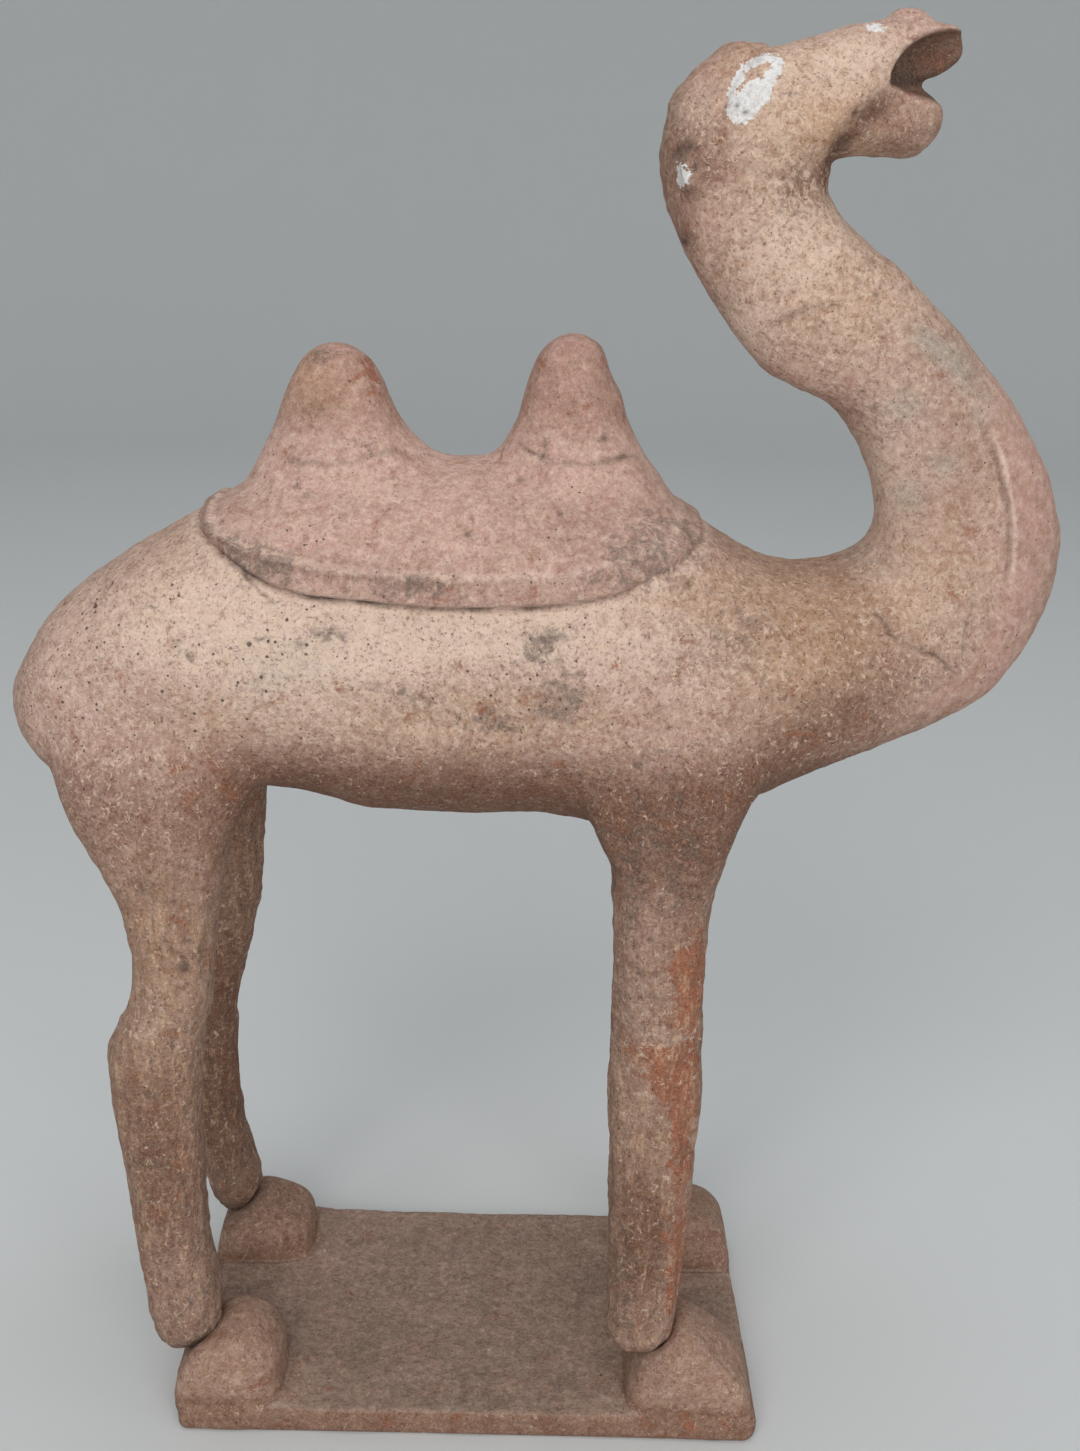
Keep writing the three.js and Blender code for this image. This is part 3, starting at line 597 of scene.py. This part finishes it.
# Colour areas
# Each entry: place x z, half sizes, turn, amount. They are read on both sides of the camel.
AREAS = {
    "cream": [
        ((134, 357), (10, 22), 0.0, 0.8), ((86, 406), (10, 12), 0.0, 0.5), ((62, 474), (9, 12), 0.0, 0.3),
        ((-45, 311), (60, 13), 0.0, 1.0), ((40, 310), (40, 13), 0.0, 0.45),
        ((-95, 318), (32, 16), 0.6, 0.4), ((-60, 292), (32, 14), 0.0, 0.4),
        ((100, 432), (16, 18), 0.6, 0.45), ((118, 438), (15, 26), 0.8, 0.25), ((108, 487), (24, 9), 0.3, 0.6),
        ((88, 466), (10, 14), 0.3, 0.25), ((90, 446), (14, 16), 0.0, 0.15),
        ((70, 300), (24, 20), 0.0, 0.12), ((-140, 292), (22, 28), 0.0, 0.15),
        ((-112, 172), (14, 14), 0.0, 0.24), ((64, 160), (9, 20), 0.0, 0.2),
        ((150, 318), (24, 20), 0.0, 0.15), ((128, 410), (26, 18), 0.5, 0.1),
        ((65, 466), (10, 16), 0.0, 0.2), ((-8, 284), (30, 8), 0.0, 0.15), ((-114, 262), (18, 12), 0.0, 0.2),
    ],
    "pink": [
        ((30, 388), (22, 24), 0.0, 0.25), ((-136, 276), (34, 40), 0.0, 0.45),
        ((-95, 258), (34, 20), 0.0, 0.3), ((66, 436), (12, 28), -0.5, 0.6),
        ((126, 500), (16, 6), 0.0, 0.7), ((60, 296), (36, 40), 0.0, 0.35),
        ((70, 484), (14, 10), 0.0, 0.4), ((152, 300), (20, 16), 0.0, 0.2),
        ((-40, 312), (70, 22), 0.0, 0.25), ((100, 390), (22, 20), 0.0, 0.3),
        ((136, 360), (26, 34), 0.0, 0.25), ((180, 330), (10, 90), 0.0, 0.5),
        ((64, 225), (18, 24), 0.0, 0.35), ((136, 474), (10, 8), 0.0, 0.25),
    ],
    "ochre": [
        ((112, 308), (30, 26), 0.4, 0.75), ((104, 462), (16, 10), 0.0, 0.7),
        ((106, 440), (30, 30), 0.0, 0.6), ((2, 284), (52, 13), 0.0, 0.45),
        ((-110, 190), (22, 46), 0.0, 0.4), ((98, 482), (28, 16), 0.0, 0.6),
        ((36, 320), (24, 8), 0.0, 0.25), ((64, 100), (12, 60), 0.0, 0.25),
        ((-58, 386), (14, 12), 0.0, 0.4), ((76, 322), (20, 10), 0.0, 0.4),
        ((-84, 280), (14, 14), 0.0, 0.4), ((-114, 120), (16, 40), 0.0, 0.4),
        ((146, 330), (24, 24), 0.0, 0.3), ((-100, 326), (16, 14), 0.0, 0.3),
        ((122, 418), (20, 16), 0.0, 0.35),
    ],
    "red": [
        ((76.5, 190), (6, 19), 0.05, 1.15), ((71, 153), (9, 14), 0.2, 1.25), ((77, 80), (4.5, 42), 0.0, 0.75),
        ((76, 130), (5, 16), 0.0, 0.7), ((112, 274), (36, 10), 0.4, 0.14), ((-98, 205), (12, 26), 0.0, 0.1),
        ((-104, 112), (6, 50), 0.0, 0.16), ((-40, 254), (90, 11), 0.0, 0.08), ((104, 456), (9, 12), 0.3, 0.2),
        ((-38, 386), (9, 14), 0.0, 0.35), ((-88, 268), (16, 16), 0.0, 0.3), ((88, 258), (20, 18), 0.0, 0.12),
        ((36, 380), (12, 24), 0.0, 0.1), ((-2, 286), (16, 8), 0.0, 0.25), ((-98, 330), (6, 8), 0.0, 0.2),
    ],
    "grime_and_shade": [
        ((-73, 334.5), (13, 4.5), -0.2, 1.5), ((-90, 341), (7, 5), 0.0, 0.5),
        ((-24, 327), (13, 4.5), 0.0, 1.1), ((22.5, 308), (11, 7), 0.0, 1.2),
        ((28, 291), (11, 7), 0.0, 1.3), ((4, 282), (14, 5), 0.0, 0.9), ((-22, 290), (10, 5), 0.0, 0.8),
        ((-48.5, 311.5), (6, 3), 0.0, 1.3), ((-96, 303), (8, 4), 0.0, 1.0), ((-107, 318), (6, 3), 0.0, 0.6), ((-70, 309), (4, 2.4), 0.0, 0.7),
        ((-54, 281), (7, 4), 0.0, 0.5), ((-36, 296), (6, 3), 0.0, 0.5),
        ((-41, 366), (14, 4), 0.0, 0.6), ((-59, 353), (5, 3), 0.0, 0.8), ((-2, 356), (20, 8), 0.0, 0.3),
        ((64, 236), (22, 22), 0.0, 0.6), ((56, 190), (6, 40), 0.0, 0.5), ((84, 316), (12, 10), 0.0, 0.6),
        ((56, 340), (16, 10), 0.0, 0.6), ((-54, 395), (7, 5), 0.0, 0.7),
        ((-106, 50), (22, 24), 0.0, 0.35), ((57, 60), (7, 40), 0.0, 0.55),
        ((64, 457), (6, 8), 0.0, 0.7), ((126, 372), (12, 26), 0.0, 0.4),
        ((-110, 226), (14, 12), 0.0, 0.4), ((66, 276), (24, 12), 0.0, 0.35), ((96, 300), (14, 14), 0.0, 0.3),
        ((-114, 96), (14, 30), 0.0, 0.3),
    ],
    "umber_and_shade": [
        ((-102, 238), (22, 26), 0.0, 0.18), ((-112, 112), (16, 46), 0.0, 0.62), ((-128, 250), (24, 20), 0.0, 0.36),
        ((39, 344), (22, 12), 0.0, 0.24), ((-50, 380), (14, 11), 0.0, 0.14), ((31, 383), (18, 22), 0.0, 0.1),
        ((-20, 340), (50, 14), 0.0, 0.08), ((16, 284), (20, 9), 0.0, 0.2), ((74, 308), (18, 14), 0.0, 0.28),
        ((72, 264), (30, 16), 0.0, 0.05), ((94, 312), (14, 16), 0.0, 0.24), ((124, 314), (16, 18), 0.3, 0.36),
        ((118, 281), (38, 14), 0.4, 0.8), ((68, 458), (10, 10), 0.0, 0.65), ((101, 452), (12, 11), 0.4, 0.75),
        ((132, 468), (13, 9), 0.0, 0.5), ((129, 501), (12, 5), 0.0, 0.2),
        ((74, 222), (7, 30), 0.0, 0.16), ((72, 150), (9, 26), 0.0, 0.22), ((64, 84), (11, 30), 0.0, 0.85),
        ((128, 424), (10, 16), 0.5, 0.12), ((-86, 262), (16, 12), 0.0, 0.2), ((146, 374), (14, 14), 0.0, 0.16),
        ((182, 345), (8, 24), 0.0, 0.26), ((64, 435), (4, 5), 0.0, 0.3),
    ],
    "green": [
        ((143, 405.7), (7, 3.5), -0.6, 0.9), ((154, 397), (10, 5), -0.7, 0.9),
        ((137.7, 383.5), (7, 6), 0.0, 0.7), ((143, 354.3), (5, 5), 0.0, 0.7),
        ((151.2, 367), (5, 5), 0.0, 0.6), ((164, 384), (5, 5), 0.0, 0.6), ((-60, 300), (22, 9), 0.3, 0.45),
        ((134, 330), (10, 5), 0.0, 0.4),
    ],
}


def camel_colours(skin):
    p = skin.p
    x, y, z = p.T
    n = len(p)
    _, masks = worn_relief(p)
    _, dark_dirt_and_shade = strokes(p)
    area = {}
    for name, spots in AREAS.items():
        total = np.zeros(n)
        for place, size, turn, amount in spots:
            total += amount * blob(x, z, place, size, turn)
        area[name] = total
    cloth, band, mane, fringe = (masks[k] for k in ("cloth", "band", "mane", "fringe"))
    legs = 1 - step(200, 250, z)
    # painted shade under the belly: browner, greyer and less cream there
    belly_shade = step(4, 28, 282 - z) * (1 - legs) * (0.25 + 0.75 * step(-105, -70, x))
    humps = step(366, 380, z) * (1 - step(60, 70, x))
    cream = 0.26 + area["cream"] * (1 - 0.9 * cloth) + 0.1 * cloth - 0.25 * humps
    cream += -0.12 * legs - 0.1 * fringe - 0.25 * belly_shade - 0.12 * mane
    pink = 0.1 + area["pink"] * (1 - 0.5 * cloth) + (0.75 - 0.15 * humps) * cloth + 0.3 * fringe
    ochre = 0.12 + area["ochre"] * (1 - cloth * (1 - humps)) * (1 - 0.5 * fringe)
    red = area["red"] - 0.1 + 0.08 * legs + 0.06 * belly_shade + 0.08 * humps
    grime_and_shade = 0.08 + area["grime_and_shade"] + 0.22 * band + 0.12 * legs + 0.2 * belly_shade + 0.75 * masks["scab"]
    green = area["green"] * (1 - 0.4 * fringe)
    # umber: browner legs, deeper still on the far side (+y), a little on the cloth, and the painted shade under
    # the belly
    umber_and_shade = 0.04 + area["umber_and_shade"] + legs * (0.27 + 0.4 * step(-5, 5, y)) + 0.95 * belly_shade + 0.05 * cloth
    # the band and humps browner, and painted shade just below the ridge along the band's top
    umber_and_shade += 0.2 * band + 0.14 * humps + 0.3 * bell(masks["top"] + 2.0, 1.4) * band * (1 - step(-30, 20, x))
    # pale lip below the hem, and painted highlight on the ridges
    cream += 0.35 * bell(masks["over"] + 3.0, 2.0) + 0.4 * bell(masks["top"], 1.0) * cloth
    cream += 0.8 * bell(masks["front"] - 0.6, 0.8) * masks["ridge"]
    cream += 0.8 * masks["scab"] * step(0.05, 0.4, rough_noise(p, 3.4, 74, 3))
    # painted shade, with some dirt, in the crack under the hem, in the groove above the band's top ridge and
    # beside the fringe's ridge
    fading = step(-92, -82, x) * (1 - step(20, 60, x))
    split = np.clip(0.6 + 0.9 * noise(p, 6.0, 75), 0.12, 1.0)
    dark_dirt_and_shade += 0.5 * bell(masks["over"] + 0.4, 0.6) * fading * split
    dark_dirt_and_shade += 0.3 * bell(masks["top"] - 1.8, 0.8) * cloth * split * (1 - step(-40, 0, x))
    dark_dirt_and_shade += 0.5 * bell(masks["front"] + 1.3, 0.8) * masks["ridge"]
    # painted shade, with some dirt, on the hollow side of the lip, in the mouth, along the valley behind the chin
    # and at the leg ends where they meet the feet
    lip_hollow_shade = lip_leaf(p)
    red += 0.3 * lip_hollow_shade
    umber_and_shade += 1.2 * lip_hollow_shade
    valley, _, _ = along([(123, 475.6), (118, 472.2), (113.6, 467.6), (111, 462), (109, 456)], x, z, 12.0)
    umber_and_shade += 0.7 * bell(valley, 4.5)
    cream -= 0.6 * lip_hollow_shade
    dark_dirt_and_shade += lip_hollow_shade * (0.55 - 0.2 * step(134, 148, x)) + 0.7 * blob(x, z, (133, 484.2), (6, 1.8))
    dark_dirt_and_shade += 0.55 * (1 - step(26, 42, z))
    shape = eye_flakes(p)
    lobe = 1 - np.hypot((x - 61.8) / 2.7, (z - 453.8) / 4.8)
    shape = np.maximum(shape, np.where(np.abs(y) > 12, 2.0 * lobe - 0.6, -9))
    fleck = 1 - np.hypot((x - 119.8) / 2.6, (z - 498.6) / 1.4)
    shape = np.maximum(shape, 1.6 * fleck)
    white = np.clip(0.5 + 0.2 * shape, 0, 1) * step(440, 446, z)
    rough = 0.8 - 0.35 * cloth - 0.45 * fringe + 0.15 * belly_shade - 0.25 * step(300, 340, z) * step(120, 150, x)
    pores = 0.3 + 0.7 * blob(x, z, (-105, 296), (52, 36)) + 0.35 * blob(x, z, (-20, 300), (60, 22))
    pores -= 0.15 * step(380, 430, z)
    values = {"cream": cream, "pink": pink, "ochre": ochre, "red": red, "grime_and_shade": grime_and_shade,
              "green": green, "white": white, "dark_dirt_and_shade": dark_dirt_and_shade, "umber_and_shade": umber_and_shade, "rough": rough, "pores": pores,
              "streak": 0.9 * legs}
    for name, v in values.items():
        skin.mark(name, v)


def plinth_colours(skin):
    p = skin.p
    x, y, z = p.T
    normal = skin.normals()
    foot = step(11.5, 17, z)
    top = step(0.5, 0.9, normal[:, 2]) * (1 - foot)
    n = len(p)
    halo = feet_spread(x, y, 31, 27)
    cream = 0.1 + 0.12 * foot
    pink = 0.1 + 0.4 * blob(x, y, (-62, 22), (12, 9)) * top + 0.15 * foot
    ochre = 0.15 + 0.2 * foot + 0.2 * (1 - top) * (1 - foot)
    red = 0.12 * step(60, 80, x) * (1 - 0.5 * foot) + 0.12 * (1 - top) * (1 - foot) - 0.12
    grime_and_shade = 0.15 + 0.36 * top * (1 - 0.75 * halo) + 0.15 * (1 - foot)
    # the slab's sides browner than its top; the feet darker on the far side (+y)
    umber_and_shade = 0.14 + 0.26 * foot + 0.6 * (1 - foot) * (1 - top) + 0.16 * foot * step(0, 20, y)
    umber_and_shade += 0.2 * top * halo
    umber_and_shade += 0.14 * top * blob(x, y, (-50, -26), (24, 18)) - 0.1 * top
    dark_dirt_and_shade = 0.15 * top * step(0.2, 0.7, rough_noise(p, 14, 81, 4) + 0.1)
    # painted shade on the feet where the legs stand, and darker along the bottom 5 mm of the slab
    near = np.zeros(n)
    for cx, cy in ((-106, -43), (-106, 43), (66, -43), (70, 43)):
        near = np.maximum(near, blob(x, y, (cx, cy), (13, 15)))
    dark_dirt_and_shade += 0.35 * near * step(14, 24, z) + 0.15 * (1 - step(0, 5, z))
    values = {"cream": cream, "pink": pink, "ochre": ochre, "red": red, "grime_and_shade": grime_and_shade,
              "green": 0.25 * top, "white": np.zeros(n), "dark_dirt_and_shade": dark_dirt_and_shade,
              "umber_and_shade": umber_and_shade, "rough": np.full(n, 0.6), "pores": np.full(n, 0.25),
              "streak": np.zeros(n)}
    for name, v in values.items():
        skin.mark(name, v)


# Material
class Graph:
    """Builds a node material in plain steps."""

    def __init__(self, name):
        self.material = bpy.data.materials.new(name)
        self.material.use_nodes = True
        self.tree = self.material.node_tree
        self.shader = self.tree.nodes["Principled BSDF"]

    def add(self, kind, **values):
        node = self.tree.nodes.new(kind)
        for name, value in values.items():
            setattr(node, name, value)
        return node

    def plug(self, socket, value):
        if isinstance(value, bpy.types.NodeSocket):
            self.tree.links.new(value, socket)
        elif value is not None:
            socket.default_value = value

    def math(self, operation, a, b=None, c=None, clamp=False):
        node = self.add("ShaderNodeMath", operation=operation, use_clamp=clamp)
        for socket, value in zip(node.inputs, (a, b, c)):
            self.plug(socket, value)
        return node.outputs[0]

    def mix(self, share, a, b, blend="MIX"):
        node = self.add("ShaderNodeMix", data_type="RGBA", blend_type=blend)
        self.plug(node.inputs["Factor"], share)
        self.plug(node.inputs["A"], a)
        self.plug(node.inputs["B"], b)
        return [s for s in node.outputs if s.type == "RGBA"][0]

    def fade(self, value, low, high):
        node = self.add("ShaderNodeMapRange", interpolation_type="SMOOTHSTEP")
        self.plug(node.inputs["Value"], value)
        node.inputs["From Min"].default_value = low
        node.inputs["From Max"].default_value = high
        return node.outputs["Result"]

    def noise(self, where, size, detail=4.0, roughness=0.55, distortion=0.0):
        node = self.add("ShaderNodeTexNoise")
        self.plug(node.inputs["Vector"], where)
        node.inputs["Scale"].default_value = 1.0 / size
        node.inputs["Detail"].default_value = detail
        node.inputs["Roughness"].default_value = roughness
        node.inputs["Distortion"].default_value = distortion
        return node.outputs["Fac"]

    def shift(self, where, amount):
        node = self.add("ShaderNodeVectorMath", operation="ADD")
        self.plug(node.inputs[0], where)
        node.inputs[1].default_value = amount
        return node.outputs[0]

    def mix_value(self, share, a, b):
        return self.math("MULTIPLY_ADD", self.math("SUBTRACT", b, a), share, a)

    def attribute(self, name):
        return self.add("ShaderNodeAttribute", attribute_name=name).outputs["Fac"]

    def cover(self, area, pattern, softness=0.09):
        """Where a layer shows: the more of it there is, the less of the pattern stays bare."""
        left = self.math("SUBTRACT", 1.0, area)
        left = self.math("MULTIPLY_ADD", left, 0.6, 0.2)
        gap = self.math("SUBTRACT", pattern, left)
        return self.fade(gap, -softness, softness)


CLAY, CREAM, PINK = rgb(160, 126, 108), rgb(234, 205, 190), rgb(196, 150, 140)
OCHRE, RED, UMBER_AND_SHADE = rgb(190, 144, 100), rgb(158, 84, 48), rgb(108, 66, 44)
GREEN_GREY, GRIME_AND_SHADE = rgb(150, 152, 142), rgb(74, 64, 58)
PORE, CREVICE_DIRT_AND_SHADE = rgb(60, 42, 34), rgb(52, 36, 28)


def clay(name, seed, ragged):
    g = Graph(name)
    coord = g.add("ShaderNodeTexCoord").outputs["Object"]
    scaled = g.add("ShaderNodeVectorMath", operation="SCALE")
    g.plug(scaled.inputs[0], coord)
    scaled.inputs["Scale"].default_value = 1.0 / MM
    where = g.shift(scaled.outputs[0], (seed * 37.0, seed * 11.0, seed * 23.0))
    area = {k: g.attribute(k) for k in ("cream", "pink", "ochre", "red", "umber_and_shade", "grime_and_shade", "green",
                                        "white", "dark_dirt_and_shade", "rough", "pores", "streak")}

    # the same place squeezed upright, for the scrapes that run down the legs
    tall = g.add("ShaderNodeVectorMath", operation="MULTIPLY")
    g.plug(tall.inputs[0], where)
    tall.inputs[1].default_value = (1.0, 1.0, 0.26)

    broad = g.noise(where, 18.0, 3.0, 0.6)
    medium = g.noise(where, 5.0, 4.0, 0.62)
    mottle = g.noise(g.shift(where, (91, 3, 7)), 3.0, 4.0, 0.66)
    mottle_two = g.noise(g.shift(where, (41, 23, 87)), 2.2, 4.0, 0.7)
    fine = g.noise(g.shift(where, (5, 43, 9)), 1.2, 3.0, 0.7)
    grain = g.noise(where, 0.55, 1.0, 0.6)
    smudge = g.noise(g.shift(where, (7, 13, 71)), 5.0, 5.0, 0.74, 0.8)
    fibre = g.noise(g.shift(tall.outputs[0], (3, 9, 1)), 2.8, 4.0, 0.72)
    patchy = g.noise(g.shift(where, (17, 53, 29)), 9.0, 5.0, 0.66, 0.8)

    def pigment(colour, name, tone, pattern, swing, most):
        share = g.math("MULTIPLY_ADD", g.math("SUBTRACT", pattern, 0.5), swing, area[name])
        share = g.math("MULTIPLY", share, most, clamp=True)
        return g.mix(share, colour, tone)

    # fired clay under thin coats and stains, each worn through by its own pattern
    colour = g.mix(g.fade(broad, 0.25, 0.75), g.mix(1.0, CLAY, rgb(232, 226, 224), "MULTIPLY"), CLAY)
    bare = g.math("MULTIPLY_ADD", g.math("SUBTRACT", patchy, 0.5), 2.4, area["red"])
    bare = g.math("MULTIPLY", g.fade(bare, 0.2, 0.62), 0.92)
    colour = pigment(colour, "pink", PINK, broad, 0.8, 0.9)
    colour = pigment(colour, "ochre", OCHRE, medium, 1.3, 0.8)
    colour = pigment(colour, "cream", CREAM, mottle, 2.0, 0.8)
    # the umber layer also carries painted shade under the belly, in the lip's hollow and behind the chin
    colour = pigment(colour, "umber_and_shade", UMBER_AND_SHADE, g.mix_value(0.5, mottle_two, patchy), 2.2, 0.95)
    colour = pigment(colour, "green", GREEN_GREY, medium, 1.2, 0.6)
    colour = g.mix(bare, colour, g.mix(g.fade(mottle, 0.35, 0.65), RED, rgb(138, 84, 58)))
    # pale fibres and brown furrows down the legs
    line = g.math("MULTIPLY", g.fade(fibre, 0.52, 0.68), g.math("MULTIPLY", area["streak"], 0.5))
    colour = g.mix(line, colour, rgb(206, 170, 134))
    line = g.math("MULTIPLY", g.fade(fibre, 0.46, 0.33), g.math("MULTIPLY", area["streak"], 0.55))
    colour = g.mix(line, colour, rgb(92, 62, 46))
    # crisp chalky flakes where the coat still holds
    flake = g.noise(g.shift(where, (63, 77, 15)), 2.4, 6.0, 0.74, 0.8)
    hold = g.math("MULTIPLY_ADD", area["cream"], 0.16, flake)
    hold = g.math("MULTIPLY", g.fade(hold, 0.6, 0.66), g.math("MULTIPLY_ADD", area["rough"], 0.7, 0.05))
    colour = g.mix(hold, colour, rgb(226, 200, 176))
    # soot and handling dirt in ragged patches, with a little painted shade under the belly
    dirt_and_shade_share = g.math("MULTIPLY_ADD", g.math("SUBTRACT", smudge, 0.56), ragged, area["grime_and_shade"])
    dirt_and_shade_share = g.math("MULTIPLY", g.fade(dirt_and_shade_share, 0.15, 1.15), 0.62)
    colour = g.mix(dirt_and_shade_share, colour, GRIME_AND_SHADE)
    # grains of the clay, dark and light
    amount = g.math("MULTIPLY_ADD", area["rough"], 0.8, 0.12)
    specks = g.math("MULTIPLY", g.fade(fine, 0.53, 0.7), amount)
    colour = g.mix(specks, colour, g.mix(1.0, colour, rgb(150, 120, 104), "MULTIPLY"))
    light = g.math("MULTIPLY", g.fade(fine, 0.46, 0.3), amount)
    colour = g.mix(light, colour, g.mix(1.0, colour, rgb(122, 108, 92), "SCREEN"))

    # pinholes in two sizes, with uneven rims, painted dark for the shade inside them
    crowd = g.fade(g.noise(g.shift(where, (61, 29, 3)), 26.0, 1.0), 0.35, 0.65)
    crowd = g.math("MULTIPLY", g.math("MULTIPLY_ADD", crowd, 0.55, 0.75),
                   g.math("MULTIPLY_ADD", area["pores"], 0.75, 0.3))
    uneven = g.math("MULTIPLY_ADD", fine, 0.8, -0.4)
    holes = None
    for size, widest, rare in ((6.0, 0.135, 0.35), (2.5, 0.225, 0.22)):
        cells = g.add("ShaderNodeTexVoronoi", feature="F1")
        g.plug(cells.inputs["Vector"], where)
        cells.inputs["Scale"].default_value = 1.0 / size
        pick = g.add("ShaderNodeSeparateColor")
        g.plug(pick.inputs[0], cells.outputs["Color"])
        radius = g.math("MULTIPLY", g.fade(pick.outputs[0], rare, 1.0), widest)
        reach = g.math("MULTIPLY", g.math("ADD", radius, g.math("MULTIPLY", radius, uneven)), crowd)
        gap = g.math("SUBTRACT", reach, cells.outputs["Distance"])
        hole = g.fade(gap, -0.01, 0.05)
        holes = hole if holes is None else g.math("MAXIMUM", holes, hole)
    colour = g.mix(g.math("MULTIPLY", holes, 0.85), colour, PORE)

    crust = g.noise(g.shift(where, (31, 5, 17)), 1.5, 4.0, 0.7)
    white = g.math("MULTIPLY_ADD", g.math("SUBTRACT", crust, 0.47), 1.1, area["white"])
    white = g.fade(white, 0.48, 0.55)
    colour = g.mix(white, colour, g.mix(g.fade(crust, 0.3, 0.6), rgb(206, 202, 200), rgb(236, 234, 233)))
    # dirt and painted shade in cracks, creases, hollows and where parts meet
    colour = g.mix(g.math("MULTIPLY", area["dark_dirt_and_shade"], 0.85, clamp=True), colour, CREVICE_DIRT_AND_SHADE)
    colour = g.mix(0.1, colour, g.mix(g.fade(grain, 0.2, 0.8), rgb(50, 36, 30), rgb(255, 236, 220)))
    g.plug(g.shader.inputs["Base Color"], colour)

    rough = g.math("MULTIPLY_ADD", medium, 0.16, 0.8)
    g.plug(g.shader.inputs["Roughness"], rough)
    g.shader.inputs["Specular IOR Level"].default_value = 0.25

    height = g.math("MULTIPLY", g.math("MULTIPLY", mottle, area["rough"]), 2.0)
    height = g.math("MULTIPLY_ADD", g.math("MULTIPLY", fine, area["rough"]), -1.3, height)
    height = g.math("MULTIPLY_ADD", g.math("MULTIPLY", fibre, area["streak"]), 2.2, height)
    height = g.math("SUBTRACT", height, holes)
    bump = g.add("ShaderNodeBump")
    bump.inputs["Strength"].default_value = 0.9
    bump.inputs["Distance"].default_value = 0.45 * MM
    g.plug(bump.inputs["Height"], height)
    g.plug(g.shader.inputs["Normal"], bump.outputs["Normal"])
    return g.material


# Assembly
def dress(skin, node, material):
    for face_set in (skin.object.data,):
        face_set.materials.clear()
        face_set.materials.append(material)
        face_set.shade_smooth()
    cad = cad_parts[node]
    cad.data.materials.clear()
    cad.data.materials.append(material)
    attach(skin.object, "root")
    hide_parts(node)


camel = camel_form()
camel_colours(camel)
plinth = plinth_form()
plinth_colours(plinth)
dress(camel, "camel", clay("terracotta", 1, 4.4))
dress(plinth, "plinth", clay("terracotta_slab", 2, 1.8))


# Camera
FOCAL_PX, IMAGE_W, IMAGE_H = 1625.0, 1080, 1451
CENTRE_Y_PX = 722.0
PITCH, YAW, ROLL = math.radians(19.13), math.radians(-0.20), math.radians(1.405)
forward = Vector((-math.sin(YAW) * math.cos(PITCH), math.cos(YAW) * math.cos(PITCH), -math.sin(PITCH)))
right = Vector((math.cos(YAW), math.sin(YAW), 0.0))
up = right.cross(forward)
right, up = (math.cos(ROLL) * right + math.sin(ROLL) * up,
             -math.sin(ROLL) * right + math.cos(ROLL) * up)
lens = bpy.data.cameras.new("camera")
lens.sensor_width = 36.0
lens.lens = 36.0 * FOCAL_PX / IMAGE_H
lens.shift_y = (CENTRE_Y_PX - IMAGE_H / 2) / IMAGE_H
camera = bpy.data.objects.new("camera", lens)
camera.matrix_world = Matrix.Translation((0.0197, -0.5557, 0.4580)) @ Matrix(
    (right, up, -forward)).transposed().to_4x4()
scene.collection.objects.link(camera)
scene.camera = camera


# Floor and light
def stage_material(name, colour):
    g = Graph(name)
    g.shader.inputs["Base Color"].default_value = colour
    g.shader.inputs["Roughness"].default_value = 0.9
    return g.material


def lathe(name, profile, steps=96):
    verts, faces = [], []
    for r, z in profile:
        for k in range(steps):
            turn = 2 * math.pi * k / steps
            verts.append((r * math.cos(turn), r * math.sin(turn), z))
    for i in range(len(profile) - 1):
        for k in range(steps):
            nxt = (k + 1) % steps
            faces.append((i * steps + k, i * steps + nxt, (i + 1) * steps + nxt, (i + 1) * steps + k))
    mesh = bpy.data.meshes.new(name)
    mesh.from_pydata(verts, [], faces)
    mesh.shade_smooth()
    out = bpy.data.objects.new(name, mesh)
    scene.collection.objects.link(out)
    return out


sweep = [(0.01, -0.0002), (1.0, -0.0002), (2.2, -0.0002)]
sweep += [(2.2 + 1.2 * math.sin(a), 1.2 * (1 - math.cos(a))) for a in np.linspace(0.15, math.pi / 2, 10)]
sweep += [(3.4, 4.0)]
floor = lathe("floor", sweep)
floor.data.materials.append(stage_material("pale_floor", rgb(218, 220, 220)))


def area_light(name, place, target, size, power, colour=(1, 1, 1)):
    data = bpy.data.lights.new(name, "AREA")
    data.shape = "DISK"
    data.size = size
    data.energy = power
    data.color = colour
    out = bpy.data.objects.new(name, data)
    out.location = place
    out.rotation_euler = (Vector(target) - Vector(place)).to_track_quat("-Z", "Y").to_euler()
    scene.collection.objects.link(out)


area_light("key", (-0.5, -1.9, 1.7), (0, 0, 0.25), 1.6, 23.3, (1.0, 0.985, 0.96))
area_light("top", (0.1, 0.2, 2.3), (0, 0, 0.2), 2.0, 10.7)
area_light("front", (0.8, -2.0, 0.9), (0, 0, 0.25), 1.4, 14.3)
world = bpy.data.worlds.new("world")
world.use_nodes = True
world.node_tree.nodes["Background"].inputs["Color"].default_value = (0.9, 0.95, 1.0, 1)
world.node_tree.nodes["Background"].inputs["Strength"].default_value = 0.35
scene.world = world
scene.view_settings.view_transform = "Standard"
